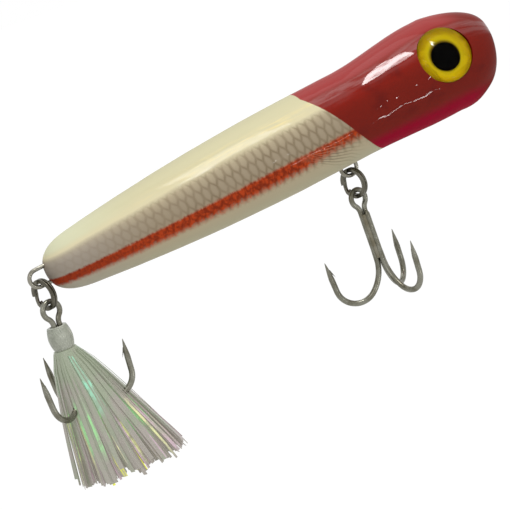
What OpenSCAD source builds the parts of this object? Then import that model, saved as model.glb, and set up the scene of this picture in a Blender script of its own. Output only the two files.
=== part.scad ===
// Topwater popper: a two-part moulded body with glued-in eyes, wire hangers,
// a tail weight, two rattle balls, split rings and two treble hooks, the rear
// one dressed with a tinsel skirt. Millimetres, head towards +X, back up +Z,
// origin in the middle of the line tie's eye, hooks hanging straight down.

/* [Body] */
// Length from the tip of the rounded tail to the crest of the mouth
body_length = 107; // [95:1:125]
// Radius of the body along its straight middle
belly_r = 9.5; // [8.5:0.1:11]
// Radius that the taper runs down to at the tail
tail_r = 5.1; // [4.6:0.1:6]
// Station where the taper reaches the full radius
taper_end = 63.5; // [50:0.5:70]
// Length of the rounded tail end
tail_cap = 8.2; // [6:0.2:12]
// Squareness of the rounded tail end
tail_power = 2.75; // [2:0.05:3.5]
// Angle that the nose rides above level while the popper floats
float_trim = 5.5; // [0:0.5:12]

/* [Head] */
// Station where the head starts to swell
flare_start = 73; // [66:0.5:78]
// Station where the head is widest
flare_end = 93.5; // [88:0.5:95]
// Growth of the radius at the head
head_flare = 1.3; // [0.6:0.1:2]
// Rise of the head's centre above the body's axis
head_lift = 0.5; // [0:0.05:1]
// Station where the nose starts to round over
nose_start = 96; // [94:0.5:98]
// Squareness of the rounded nose
nose_power = 1.85; // [1.6:0.05:2.4]
// Radius of the crest round the mouth
lip_r = 5.8; // [5.4:0.1:7]
// Drop of the mouth's centre below the body's axis
lip_drop = 0.85; // [0:0.05:1.5]
// Angle by which the upper lip leads the lower one
mouth_slant = 13.5; // [0:0.5:20]
// Depth of the mouth cup
cup_depth = 4.6; // [4:0.1:5.2]
// Width of the land between the crest and the cup
lip_land = 0.2; // [0.1:0.05:0.6]

/* [Shell] */
// Wall round the hollows
wall = 1.7; // [1.3:0.1:2.2]
// Thickness of the ribs between the hollows
rib = 1.5; // [1.2:0.1:2.5]
// Length of a rattle chamber
chamber_length = 11; // [9:0.5:12]
// Station where the forward hollow ends
hollow_end = 85; // [80:0.5:87]
// Radius of a locating pin
pin_r = 0.8; // [0.6:0.05:1]
// Length of a locating pin past the parting face
pin_length = 2; // [1.5:0.1:3]
// Room round a locating pin in its socket
pin_clearance = 0.1; // [0.05:0.05:0.2]

/* [Weights] */
// Radius of the tail weight
ballast_r = 4.2; // [3.2:0.1:4.4]
// Length of the tail weight
ballast_length = 14; // [8:0.5:15]
// Room round the tail weight
ballast_clearance = 0.1; // [0.05:0.05:0.2]
// Radius of a rattle ball
ball_r = 2.8; // [2:0.1:3]
// Room round a rattle ball where it rests
ball_clearance = 0.15; // [0.1:0.05:0.3]

/* [Eyes] */
// Station of the eyes
eye_x = 94.5; // [92:0.5:95]
// Angle of the eyes above level
eye_angle = 18; // [8:1:24]
// Radius of an eye
eye_r = 6; // [5:0.1:6.3]
// Distance of the eye's seat from the head's centre
eye_seat = 8.8; // [8.4:0.1:9.2]
// Thickness of the iris disc
iris_t = 0.7; // [0.5:0.1:1]
// Radius of the pupil disc
pupil_r = 3.1; // [2.5:0.1:3.6]
// Thickness of the pupil disc
pupil_t = 0.3; // [0.2:0.05:0.5]
// Drop of the pupil below the middle of the eye
pupil_drop = 0.5; // [0:0.1:1]
// Height of the clear dome
lens_h = 2; // [1.5:0.1:2.5]
// Room round an eye in its seat
eye_clearance = 0.08; // [0.05:0.01:0.15]

/* [Hangers] */
// Wire radius of the belly and tail hangers
hanger_wire_r = 0.45; // [0.4:0.01:0.5]
// Radius of a hanger's loop, to the middle of its wire
hanger_loop_r = 1.8; // [1.7:0.05:2.1]
// Station of the belly hanger
belly_hanger_x = 68; // [66:0.5:70]
// How far the belly hanger stands out of the belly
belly_reach = 2.6; // [2.4:0.1:3.2]
// How far the tail hanger stands out of the tail
tail_reach = 4.2; // [4:0.1:5]
// Depth of the belly hanger's feet from its loop's centre
belly_depth = 7; // [6:0.1:7.5]
// Depth of the tail hanger's feet from its loop's centre
tail_depth = 9; // [8:0.1:9.4]
// Length of a turned-out foot
hanger_foot = 1.9; // [1.2:0.1:2]
// Inner radius of the bend at a foot
foot_bend = 0.25; // [0.2:0.01:0.3]
// Room round a hanger in its channel
channel_clearance = 0.1; // [0.08:0.01:0.15]

/* [Line tie] */
// Wire radius of the line tie
tie_wire_r = 0.5; // [0.45:0.01:0.55]
// Radius of the line tie's eye, to the middle of its wire
tie_loop_r = 2.05; // [1.9:0.05:2.2]
// Radius of the coined bore in the line tie's eye
tie_bore_r = 1.65; // [1.5:0.05:1.75]
// Wire radius of the line tie's legs
tie_leg_r = 0.46; // [0.42:0.01:0.48]
// Half the distance between the line tie's legs
tie_leg_gap = 0.65; // [0.62:0.01:0.8]
// Distance of the line tie's eye behind the crest of the mouth
tie_setback = 1.1; // [0.6:0.1:1.4]
// Depth of the line tie's feet from its eye
tie_depth = 11; // [9:0.1:12]
// Height of the line tie above the body's axis
tie_height = -0.3; // [-0.6:0.1:0.3]

/* [Split rings] */
// Radius of a split ring, to the middle of its wire
ring_r = 2.95; // [2.8:0.05:3.2]
// Radial width of the flattened ring wire
ring_wire_w = 0.9; // [0.8:0.05:0.95]
// Thickness of the flattened ring wire
ring_wire_t = 0.52; // [0.45:0.01:0.54]
// Distance between the middles of the two coils
ring_pitch = 0.62; // [0.6:0.01:0.64]
// Turn of the rings about the vertical
ring_turn = 25; // [10:1:26]
// Room between a ring and the hanger that carries it
ring_play = 0.3; // [0.26:0.01:0.4]
// Room between a hook's eye and the ring that carries it
hook_play = 0.32; // [0.3:0.01:0.4]

/* [Treble hooks] */
// Wire radius of the hooks
hook_wire_r = 0.575; // [0.5:0.005:0.6]
// Radius of the hook's eye, to the middle of its wire
hook_eye_r = 1.9; // [1.85:0.05:2.1]
// Radius of the bends below the hook's eye
hook_neck_r = 2.2; // [1.8:0.1:2.4]
// Distance of each shank's middle from the hook's axis
shank_offset = 0.78; // [0.75:0.01:0.85]
// Distance from the eye's centre to the start of the bend
shank_length = 13.3; // [12:0.1:16]
// Radius of the upper, open part of the bend
bend_upper_r = 9.2; // [8:0.1:11]
// Angle of the upper part of the bend
bend_upper_angle = 48; // [42:1:52]
// Radius of the lower, close part of the bend
bend_lower_r = 4.4; // [4:0.1:5]
// Angle of the lower part of the bend
bend_lower_angle = 128; // [120:1:134]
// Length of the straight point leg
point_leg = 6.7; // [6:0.1:8]
// Length of the ground point
point_taper = 3.8; // [3:0.1:4.5]
// Radius left at the tip of the point
tip_r = 0.06; // [0.04:0.01:0.1]
// Height of the barb above the wire
barb_h = 0.45; // [0.3:0.05:0.6]
// Length of the barb
barb_length = 1.7; // [1.2:0.1:2]
// Width of the barb
barb_w = 0.5; // [0.3:0.05:0.7]
// Radius of the braze between the shanks
braze_r = 1.05; // [1:0.01:1.1]
// Room between the braze and a shank
braze_gap = 0.02; // [0.02:0.005:0.03]
// Turn of the belly hook's single member about the vertical
belly_hook_turn = 288; // [280:1:296]
// Turn of the tail hook's single member about the vertical
tail_hook_turn = 104; // [102:1:118]

/* [Skirt] */
// Top of the thread collar below the hook's eye
collar_top = 3.4; // [3.2:0.1:4]
// Length of the thread collar
collar_length = 5; // [4:0.1:5.5]
// Radius of the thread collar at its middle
collar_r = 2.6; // [2.4:0.1:3]
// Radius of the collar at its two ends
collar_end_r = 2.1; // [1.9:0.1:2.3]
// Room between the collar and the shanks
collar_clearance = 0.05; // [0.03:0.01:0.08]
// Length of the bound slice that the tinsel hangs from
slice_length = 1.2; // [0.8:0.1:1.5]
// Radius of the bound slice
slice_r = 2.7; // [2.5:0.1:3]
// Number of tinsel strands laid out
strands = 460; // [440:10:520]
// Longest drop of the tinsel below its slice
skirt_length = 28; // [22:0.5:32]
// Share of the drop that the shortest strands lack
skirt_ragged = 0.16; // [0:0.01:0.3]
// Half-width of the hem along the body
hem_x = 11.5; // [8:0.5:13]
// Half-width of the hem across the body
hem_y = 8; // [6:0.5:10]
// Half-width of the open middle of the hem
hem_inner = 2.2; // [1.8:0.1:3]
// Lean of the skirt towards the head
skirt_lean = 9; // [0:0.5:12]
// Width of a strand at the hem
strand_w = 0.5; // [0.3:0.05:0.7]
// Thickness of a strand at the hem
strand_t = 0.16; // [0.1:0.01:0.25]
// Room kept between the strands and the hook wire
strand_clearance = 0.2; // [0.15:0.05:0.3]

/* [Hidden] */

// Sides of the moulded body, of its inner hollows and of small rounds
body_fn = 36;
hollow_fn = 24;
round_fn = 32;
pin_fn = 16;
hook_fn = 8;
groove_fn = 16;
// Number of rattle chambers, one ball in each
chambers = 2;
// The overlap that clears a cut's face
past = 1;
// Half the size of the block that stands for one side of the parting face
half_block = 200;

pearl = "linen";
steel = "silver";
tin = "gray";

// Values that run from 0 to 1 with a level start and end
function clamp01(u) = max(0, min(1, u));
function ease(u) = let (c = clamp01(u)) c * c * (3 - 2 * c);

// The body's outline: a parabolic taper, a rounded tail, a swollen head and a
// nose that rounds over to the mouth's crest, at a station x from the tail
function tail_round(x) =
    x >= tail_cap ? 1 : pow(1 - pow(1 - x / tail_cap, tail_power), 1 / tail_power);
function taper_r(x) = belly_r - (belly_r - tail_r) * pow(max(0, taper_end - x) / taper_end, 2);
function head_share(x) = ease((x - flare_start) / (flare_end - flare_start));
function side_r(x) = taper_r(x) * tail_round(x) + head_flare * head_share(x);
function nose_share(x) = clamp01((x - nose_start) / (body_length - nose_start));
function nose_round(x) = pow(1 - pow(nose_share(x), nose_power), 1 / nose_power);
function body_r(x) = lip_r + (side_r(x) - lip_r) * nose_round(x);
function body_z(x) =
    head_lift * head_share(x) * (1 - nose_share(x)) - lip_drop * nose_share(x);
function body_tilt(x) = atan(tan(mouth_slant) * ease(nose_share(x)));

// The rounded tail ends in a small flat that its hanger's legs come out of
tail_flat_r = hanger_loop_r + hanger_wire_r + 2 * channel_clearance + 0.1;
first_station = tail_cap * (1 - pow(1 - pow(tail_flat_r / tail_r, tail_power), 1 / tail_power));

// Stations of the loft, closer where the outline turns
cap_steps = 7;
taper_steps = 8;
head_steps = 10;
nose_steps = 8;
stations = concat(
    [for (i = [0 : cap_steps - 1]) first_station + (tail_cap - first_station) * (1 - cos(90 * i / cap_steps))],
    [for (i = [0 : taper_steps - 1]) tail_cap + (flare_start - tail_cap) * i / taper_steps],
    [for (i = [0 : head_steps - 1]) flare_start + (nose_start - flare_start) * i / head_steps],
    [for (i = [0 : nose_steps]) nose_start + (body_length - nose_start) * sin(90 * i / nose_steps)]
);

// Places in the body's own frame, with x from the tail and z from the axis
tie_at = [body_length - tie_setback, 0, tie_height];
belly_loop_at = [belly_hanger_x, 0, -taper_r(belly_hanger_x) - belly_reach + hanger_wire_r + hanger_loop_r];
tail_loop_at = [-tail_reach + hanger_wire_r + hanger_loop_r, 0, 0];

// A place in the body's frame, carried into the part's own frame
function to_part(p) =
    let (x = p[0] - tie_at[0], z = p[2] - tie_at[2])
    [x * cos(float_trim) - z * sin(float_trim), p[1], x * sin(float_trim) + z * cos(float_trim)];

// Hollows along the body: the weight's pocket, the rattle chambers, the rest
ballast_start = tail_depth - tail_reach + 2 * hanger_wire_r + hanger_loop_r + channel_clearance + rib;
ballast_end = ballast_start + ballast_length + 2 * ballast_clearance;
function chamber_start(i) = ballast_end + rib + i * (chamber_length + rib);
hollow_start = chamber_start(chambers);
function hollow_r(x) = side_r(x) - wall;

// The block that holds the belly hanger's feet
foot_end = hanger_loop_r + hanger_wire_r + foot_bend + hanger_foot + channel_clearance;
anchor_half = foot_end + rib;
anchor_top = belly_loop_at[2] + belly_depth + hanger_wire_r + channel_clearance + rib;

// Locating pins stand in the solid parts of the parting face
head_pin_x = hollow_end + rib + pin_r;
head_pin_z = side_r(head_pin_x) - wall - 2 * pin_r;
pin_places = [
    [head_pin_x, head_pin_z],
    [head_pin_x, -head_pin_z]
];

// Split rings hang from the lowest point of their hanger's loop, and hooks
// from the lowest point of their ring
ring_lift = hanger_wire_r + ring_wire_w / 2 + ring_play;
hook_drop = hook_eye_r - hook_wire_r - ring_wire_w / 2 - hook_play;
function ring_pivot(loop_at) = to_part(loop_at) - [0, 0, hanger_loop_r];
function ring_centre(loop_at) = ring_pivot(loop_at) + [0, 0, ring_lift - ring_r];
function hook_pivot(loop_at) = ring_centre(loop_at) - [0, 0, ring_r];
function hook_centre(loop_at) = hook_pivot(loop_at) - [0, 0, hook_drop];

// A hook's neck: the bends that lead from two shanks into a round eye
function neck_angle(half_gap, loop_r, neck_r) = acos((half_gap + neck_r) / (loop_r + neck_r));
pair_half_gap = shank_offset * sin(60);
pair_plane = shank_offset * cos(60);
hook_neck = neck_angle(pair_half_gap, hook_eye_r, hook_neck_r);
shank_top = (hook_eye_r + hook_neck_r) * sin(hook_neck);
bundle_r = shank_offset + hook_wire_r;

// Moves the body's own frame to the part's frame
module in_body() {
    rotate([0, -float_trim, 0]) translate(-tie_at) children();
}

// Skin over a row of rings, each the same number of points counter-clockwise
// about the way the row runs
module skin(rings) {
    n = len(rings[0]);
    last = (len(rings) - 1) * n;
    walls = [
        for (i = [0 : len(rings) - 2])
            for (k = [0 : n - 1])
                let (a = i * n + k, b = i * n + (k + 1) % n)
                for (f = [[a, a + n, b], [b, a + n, b + n]])
                    f
    ];
    ends = [[for (k = [0 : n - 1]) k], [for (k = [n - 1 : -1 : 0]) last + k]];
    polyhedron(points = [for (ring = rings) for (p = ring) p], faces = concat(walls, ends));
}

// Wire from +Z, round one bend towards +X, to the start of its leg
module foot_wire(r, leg) {
    bend = foot_bend + r;
    cylinder(r = r, h = hanger_foot, $fn = round_fn);
    translate([bend, 0, hanger_foot]) {
        rotate([90, 0, 180]) rotate_extrude(angle = 90, $fn = 2 * round_fn)
            translate([bend, 0]) circle(r = r, $fn = round_fn);
        translate([0, 0, bend]) rotate([0, 90, 0]) cylinder(r = r, h = leg, $fn = round_fn);
    }
}

// The two legs of a hanger in the XZ plane, their feet at -depth
module hanger_legs(r, half_gap, depth, to) {
    bend = foot_bend + r;
    for (side = [0, 1])
        mirror([0, 0, side])
            translate([-depth, 0, half_gap + bend + hanger_foot]) rotate([180, 0, 0])
                foot_wire(r, depth - bend + to);
}

module wire_loop(r, loop_r, angle) {
    rotate([90, 0, 0]) rotate([0, 0, -90]) rotate_extrude(angle = angle, $fn = 2 * round_fn)
        translate([loop_r, 0]) circle(r = r, $fn = round_fn);
}

// A U-shaped hanger, its loop round the origin
module hanger(depth) {
    hanger_legs(hanger_wire_r, hanger_loop_r, depth, 0);
    wire_loop(hanger_wire_r, hanger_loop_r, 180);
}

// The channel that a hanger's legs and feet lie in, open past the surface
module hanger_channel(r, half_gap, depth, out) {
    foot_reach = half_gap + foot_bend + r + hanger_foot;
    for (side = [-1, 1]) groove(r, [-depth, side * half_gap], [out, side * half_gap]);
    groove(r, [-depth, -foot_reach], [-depth, foot_reach]);
}

module groove(r, from, to) {
    room = r + channel_clearance;
    hull()
        for (p = [from, to])
            translate([p[0], 0, p[1]]) rotate([90, 0, 0])
                cylinder(r = room, h = 2 * room, center = true, $fn = groove_fn);
}

// One ring of the body's outline, set in from the surface
function body_ring(x, inset, sides) =
    let (r = body_r(x) - inset, tilt = body_tilt(x))
    [
        for (k = [0 : sides - 1])
            let (y = r * cos(360 * k / sides), z = r * sin(360 * k / sides))
            [x + z * sin(tilt), y, body_z(x) + z * cos(tilt)]
    ];

module body_loft() {
    skin([for (x = stations) body_ring(x, 0, body_fn)]);
}

// A hollow between two stations that leaves the wall standing
hollow_steps = 6;
module hollow(from, to) {
    skin([for (i = [0 : hollow_steps]) body_ring(from + (to - from) * i / hollow_steps, wall, hollow_fn)]);
}

module belly_anchor() {
    translate([belly_hanger_x - anchor_half, -belly_r, -2 * belly_r])
        cube([2 * anchor_half, 2 * belly_r, 2 * belly_r + anchor_top]);
}

module mouth_cup() {
    mouth_r = lip_r - lip_land;
    cup_r = (mouth_r * mouth_r + cup_depth * cup_depth) / (2 * cup_depth);
    translate([body_length, 0, -lip_drop]) rotate([0, mouth_slant, 0])
        translate([cup_r - cup_depth, 0, 0]) sphere(r = cup_r, $fn = body_fn);
}

// The eye's own frame: +Z out of the head, on the left (1) or right (-1) side
module in_eye(side) {
    translate([eye_x, 0, body_z(eye_x)]) rotate([-side * (90 - eye_angle), 0, 0]) children();
}

module eye_pocket(side) {
    in_eye(side) translate([0, 0, eye_seat])
        cylinder(r = eye_r + eye_clearance, h = belly_r, $fn = body_fn);
}

module body_half(side) {
    difference() {
        intersection() {
            body_loft();
            translate([-half_block, side > 0 ? 0 : -2 * half_block, -half_block])
                cube(2 * half_block);
        }
        for (i = [0 : chambers - 1]) hollow(chamber_start(i), chamber_start(i) + chamber_length);
        difference() {
            hollow(hollow_start, hollow_end);
            belly_anchor();
        }
        translate([ballast_start, 0, 0]) rotate([0, 90, 0])
            cylinder(r = ballast_r + ballast_clearance, h = ballast_end - ballast_start, $fn = hollow_fn);
        mouth_cup();
        eye_pocket(side);
        translate(tie_at) hanger_channel(tie_leg_r, tie_leg_gap, tie_depth, 0);
        translate(belly_loop_at) rotate([0, 90, 0])
            hanger_channel(hanger_wire_r, hanger_loop_r, belly_depth, hanger_loop_r);
        translate(tail_loop_at) rotate([0, 180, 0])
            hanger_channel(hanger_wire_r, hanger_loop_r, tail_depth, 0);
        if (side < 0)
            for (p = pin_places) locating_pin(p, pin_r + pin_clearance, pin_length + pin_clearance);
    }
}

// A pin that runs from inside the left half across the parting face
module locating_pin(place, r, length) {
    translate([place[0], past, place[1]]) rotate([90, 0, 0])
        cylinder(r = r, h = past + length, $fn = pin_fn);
}

module left_body_half() {
    color(pearl) in_body() {
        body_half(1);
        for (p = pin_places) locating_pin(p, pin_r, pin_length);
    }
}

module right_body_half() {
    color(pearl) in_body() body_half(-1);
}

tie_leg_end = sqrt(tie_loop_r * tie_loop_r - tie_leg_gap * tie_leg_gap);
module nose_line_tie() {
    color(steel) in_body() translate(tie_at) difference() {
        union() {
            wire_loop(tie_wire_r, tie_loop_r, 360);
            hanger_legs(tie_leg_r, tie_leg_gap, tie_depth, -tie_leg_end);
        }
        rotate([90, 0, 0]) cylinder(r = tie_bore_r, h = 4 * tie_wire_r, center = true, $fn = 2 * round_fn);
    }
}

module belly_hanger() {
    color(steel) in_body() translate(belly_loop_at) rotate([0, 90, 0])
        hanger(belly_depth);
}

module tail_hanger() {
    color(steel) in_body() translate(tail_loop_at) rotate([0, 180, 0])
        hanger(tail_depth);
}

module tail_ballast() {
    color("dimgray") in_body() translate([ballast_start + ballast_clearance, 0, 0]) rotate([0, 90, 0])
        cylinder(r = ballast_r, h = ballast_length, $fn = 2 * round_fn);
}

// A ball at the tail end of its chamber, resting on the chamber's floor
module rattle_ball(i) {
    start = chamber_start(i);
    room = ball_r + ball_clearance;
    in_body() translate([start + room, 0, room - hollow_r(start)]) sphere(r = ball_r, $fn = 2 * round_fn);
}

module rear_rattle_ball() {
    color(steel) rattle_ball(0);
}

module front_rattle_ball() {
    color(steel) rattle_ball(chambers - 1);
}

module eye_iris(side) {
    color("gold") in_body() in_eye(side) translate([0, 0, eye_seat])
        cylinder(r = eye_r, h = iris_t, $fn = 2 * round_fn);
}

module eye_pupil(side) {
    color("black") in_body() in_eye(side) translate([0, side * pupil_drop, eye_seat + iris_t])
        cylinder(r = pupil_r, h = pupil_t, $fn = 2 * round_fn);
}

// A clear dome, hollowed underneath for the pupil
module eye_lens(side) {
    dome_r = (eye_r * eye_r + lens_h * lens_h) / (2 * lens_h);
    color("white", 0.4) in_body() in_eye(side) translate([0, 0, eye_seat + iris_t]) difference() {
        intersection() {
            translate([0, 0, lens_h - dome_r]) sphere(r = dome_r, $fn = 2 * round_fn);
            cylinder(r = 2 * eye_r, h = lens_h + past, $fn = 2 * round_fn);
        }
        translate([0, side * pupil_drop, -past])
            cylinder(r = pupil_r + eye_clearance, h = past + pupil_t + eye_clearance, $fn = 2 * round_fn);
    }
}

module left_eye_iris() { eye_iris(1); }
module left_eye_pupil() { eye_pupil(1); }
module left_eye_lens() { eye_lens(1); }
module right_eye_iris() { eye_iris(-1); }
module right_eye_pupil() { eye_pupil(-1); }
module right_eye_lens() { eye_lens(-1); }

// A split ring: one flattened wire wound through two flat coils, with a
// quick climb from the first to the second
ring_steps = 50;
ring_sweep = 690;
ring_climb = 40;
function ring_height(a) = ring_pitch * (ease((a - ring_sweep / 2) / ring_climb + 0.5) - 0.5);
function ring_section(w, t) =
    let (c = t / 4)
    [[-w, c - t], [c - w, -t], [w - c, -t], [w, c - t], [w, t - c], [w - c, t], [c - w, t], [-w, t - c]];

module split_ring() {
    outline = ring_section(ring_wire_w / 2, ring_wire_t / 2);
    skin([
        for (i = [0 : ring_steps])
            let (a = ring_sweep * i / ring_steps)
            [for (p = outline) [(ring_r + p[0]) * cos(a), (ring_r + p[0]) * sin(a), ring_height(a) - p[1]]]
    ]);
}

// A ring stands on edge under its hanger, turned about the vertical
module hung_ring(loop_at) {
    color(tin) translate(ring_centre(loop_at)) rotate([0, 0, ring_turn]) rotate([0, 90, 0])
        rotate([0, 0, 90]) split_ring();
}

module belly_split_ring() { hung_ring(belly_loop_at); }
module tail_split_ring() { hung_ring(tail_loop_at); }

// A hook from the top of its shank to its point, as [out, down, heading, radius,
// barb]: the heading turns from straight down, and the barb stands on the inside
upper_end = [
    shank_offset + bend_upper_r * (1 - cos(bend_upper_angle)),
    shank_length + bend_upper_r * sin(bend_upper_angle)
];
bend_end = [
    upper_end[0] + bend_lower_r * (cos(bend_upper_angle) - cos(bend_upper_angle + bend_lower_angle)),
    upper_end[1] + bend_lower_r * (sin(bend_upper_angle + bend_lower_angle) - sin(bend_upper_angle))
];
upper_steps = 4;
lower_steps = 9;
function upper_at(u) =
    let (a = bend_upper_angle * u)
    [shank_offset + bend_upper_r * (1 - cos(a)), shank_length + bend_upper_r * sin(a), a];
function lower_at(u) =
    let (a = bend_upper_angle + bend_lower_angle * u)
    [upper_end[0] + bend_lower_r * (cos(bend_upper_angle) - cos(a)),
     upper_end[1] + bend_lower_r * (sin(a) - sin(bend_upper_angle)), a];
function leg_at(d) =
    let (a = bend_upper_angle + bend_lower_angle)
    [bend_end[0] + d * sin(a), bend_end[1] + d * cos(a), a];
barb_start = point_leg - point_taper;
barb_step = 0.1;
function ground_r(d) = hook_wire_r + (tip_r - hook_wire_r) * (d - barb_start) / point_taper;
hook_run = concat(
    [[shank_offset, shank_top, 0, hook_wire_r, 0]],
    [for (i = [0 : upper_steps]) concat(upper_at(i / upper_steps), [hook_wire_r, 0])],
    [for (i = [1 : lower_steps]) concat(lower_at(i / lower_steps), [hook_wire_r, 0])],
    [
        concat(leg_at(barb_start - barb_step), [hook_wire_r, 0]),
        concat(leg_at(barb_start), [hook_wire_r, barb_h]),
        concat(leg_at(barb_start + barb_length), [ground_r(barb_start + barb_length), 0]),
        concat(leg_at(point_leg), [tip_r, 0])
    ]
);

// Ring of wire at one place of the run, in the plane of the turn; way is 1 for
// a hook that runs from shank to point and -1 for one that runs back
function hook_ring(at, turn, way) =
    let (
        out = [cos(turn), sin(turn), 0],
        side = [-sin(turn), cos(turn), 0],
        middle = out * at[0] - [0, 0, at[1]],
        inside = out * cos(at[2]) + [0, 0, sin(at[2])]
    )
    [
        for (k = [0 : hook_fn - 1])
            let (a = 360 * k / hook_fn)
            middle + inside * (at[3] * cos(a) + (k == 0 ? at[4] : 0)) - side * way * at[3] * sin(a)
    ];
function hook_rings(turn) = [for (at = hook_run) hook_ring(at, turn, 1)];
function hook_rings_back(turn) =
    [for (i = [len(hook_run) - 1 : -1 : 0]) hook_ring(hook_run[i], turn, -1)];

// The wire between the two shanks of a pair, as [across, up, heading]: out
// through one neck bend, round the eye and back through the other neck bend
neck_steps = 3;
eye_steps = 15;
function neck_at(a, side) =
    [side * (pair_half_gap + hook_neck_r * (1 - cos(a))), hook_neck_r * sin(a) - shank_top,
     side > 0 ? a : -180 - a];
function eye_at(a) = [hook_eye_r * cos(a), -hook_eye_r * sin(a), a];
eye_run = concat(
    [for (i = [1 : neck_steps - 1]) neck_at(hook_neck * i / neck_steps, 1)],
    [for (i = [0 : eye_steps]) eye_at(hook_neck - (180 + 2 * hook_neck) * i / eye_steps)],
    [for (i = [neck_steps - 1 : -1 : 1]) neck_at(hook_neck * i / neck_steps, -1)]
);
function eye_ring(at, turn) =
    let (
        across = [sin(turn), -cos(turn), 0],
        out = [cos(turn), sin(turn), 0],
        middle = out * pair_plane + across * at[0] + [0, 0, at[1]],
        inside = across * cos(at[2]) - [0, 0, sin(at[2])]
    )
    [
        for (k = [0 : hook_fn - 1])
            let (a = 360 * k / hook_fn + 30)
            middle + (inside * cos(a) + out * sin(a)) * hook_wire_r
    ];

module hook(turn) {
    skin(hook_rings(turn));
}

// Two hooks from one wire, which forms the eye between their shanks
module hook_pair(turn) {
    skin(concat(
        hook_rings_back(turn + 120),
        [for (at = eye_run) eye_ring(at, turn + 180)],
        hook_rings(turn + 240)
    ));
}

module hook_braze(turn) {
    top = shank_top + hook_wire_r;
    translate([0, 0, -shank_length]) linear_extrude(shank_length - top) difference() {
        circle(r = braze_r, $fn = round_fn);
        for (k = [0 : 2])
            rotate(turn + 120 * k) translate([shank_offset, 0])
                circle(r = hook_wire_r + braze_gap, $fn = round_fn);
    }
}

module belly_hook_pair() {
    color(tin) translate(hook_centre(belly_loop_at)) hook_pair(belly_hook_turn);
}

module belly_hook_single() {
    color(tin) translate(hook_centre(belly_loop_at)) hook(belly_hook_turn);
}

module belly_hook_braze() {
    color("goldenrod") translate(hook_centre(belly_loop_at)) hook_braze(belly_hook_turn);
}

module tail_hook_pair() {
    color(tin) translate(hook_centre(tail_loop_at)) hook_pair(tail_hook_turn);
}

module tail_hook_single() {
    color(tin) translate(hook_centre(tail_loop_at)) hook(tail_hook_turn);
}

module tail_hook_braze() {
    color("goldenrod") translate(hook_centre(tail_loop_at)) hook_braze(tail_hook_turn);
}

// Thread wound over the shanks: a barrel with a round hole
hole_r = bundle_r + collar_clearance;
module thread_collar() {
    color("gainsboro") translate(hook_centre(tail_loop_at)) translate([0, 0, -collar_top - collar_length / 2])
        rotate_extrude($fn = 2 * round_fn) polygon(concat(
            [[hole_r, collar_length / 2], [hole_r, -collar_length / 2]],
            [for (k = [-4 : 4])
                [collar_end_r + (collar_r - collar_end_r) * cos(90 * k / 4), collar_length * k / 8]]
        ));
}

// Tinsel: strands spread evenly over a ring at the slice and fan out to the
// hem; each share runs from 0 on the inside of the ring to 1 on the outside
golden_turn = 137.508;
root_w = 0.12;
root_t = 0.08;
root_sink = 0.3;
slice_top = collar_top + collar_length;
slice_bottom = slice_top + slice_length;
root_in = hole_r + root_w;
root_out = slice_r * cos(180 / hollow_fn) - root_w;

function strand_share(i) = (i + 0.5) / strands;
function strand_turn(i) = golden_turn * i;
function strand_drop(i) = skirt_length * (1 - skirt_ragged * abs(sin(97 * i)));
function root_radius(share) = sqrt(root_in * root_in + (root_out * root_out - root_in * root_in) * share);

// Middle of a strand at a depth
function strand_at(i, depth) =
    let (
        share = root_radius(strand_share(i)),
        span = (share - root_in) / (root_out - root_in),
        f = max(0, depth) / skirt_length,
        rx = share + (hem_inner + (hem_x - hem_inner) * span - share) * f,
        ry = share + (hem_inner + (hem_y - hem_inner) * span - share) * f,
        t = strand_turn(i)
    )
    [rx * cos(t) + tan(skirt_lean) * max(0, depth), ry * sin(t), -slice_bottom - depth];

// Middles of the tail hook's three wires along their bends
sample_steps = 16;
bend_samples = concat(
    [for (i = [0 : sample_steps]) upper_at(i / sample_steps)],
    [for (i = [1 : sample_steps]) lower_at(i / sample_steps)]
);
hook_samples = [
    for (k = [0 : 2])
        let (turn = tail_hook_turn + 120 * k)
        for (p = bend_samples) [p[0] * cos(turn), p[0] * sin(turn), -p[1]]
];
strand_steps = 16;
keep_off = hook_wire_r + strand_w / 2 + strand_clearance;
function strand_clear(i) =
    min([
        for (k = [0 : strand_steps])
            let (p = strand_at(i, skirt_length * k / strand_steps))
            min([for (q = hook_samples) norm(p - q)])
    ]) > keep_off;

// A strand is a thin three-sided spike that widens towards the hem
module strand(i) {
    t = strand_turn(i);
    across = [-sin(t), cos(t), 0];
    outward = [cos(t), sin(t), 0];
    skin([
        for (d = [-root_sink, strand_drop(i)])
            let (
                u = max(0, d) / skirt_length,
                w = (root_w + (strand_w - root_w) * u) / 2,
                h = (root_t + (strand_t - root_t) * u) / 2,
                p = strand_at(i, d)
            )
            [p + outward * h, p - across * w - outward * h, p + across * w - outward * h]
    ]);
}

// The bound end of the tinsel, a short sleeve turned in steps
slice_steps = 9;
slice_lap = 0.02;
module tinsel_slice() {
    difference() {
        for (k = [0 : slice_steps - 1])
            hull()
                for (j = [k, k + 1])
                    translate([0, 0, -slice_top - slice_lap - (slice_length - slice_lap) * j / slice_steps])
                        cylinder(r = slice_r, h = slice_lap, $fn = hollow_fn);
        translate([0, 0, -slice_bottom - past])
            cylinder(r = hole_r, h = slice_length + 2 * past, $fn = hollow_fn);
    }
}

kept = [for (i = [0 : strands - 1]) if (strand_clear(i)) i];
module tinsel_skirt() {
    echo(strands_kept = len(kept));
    color("honeydew") translate(hook_centre(tail_loop_at)) {
        tinsel_slice();
        for (i = kept) strand(i);
    }
}

left_body_half();
right_body_half();
nose_line_tie();
belly_hanger();
tail_hanger();
tail_ballast();
rear_rattle_ball();
front_rattle_ball();
left_eye_iris();
left_eye_pupil();
left_eye_lens();
right_eye_iris();
right_eye_pupil();
right_eye_lens();
belly_split_ring();
belly_hook_pair();
belly_hook_single();
belly_hook_braze();
tail_split_ring();
tail_hook_pair();
tail_hook_single();
tail_hook_braze();
thread_collar();
tinsel_skirt();
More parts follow.
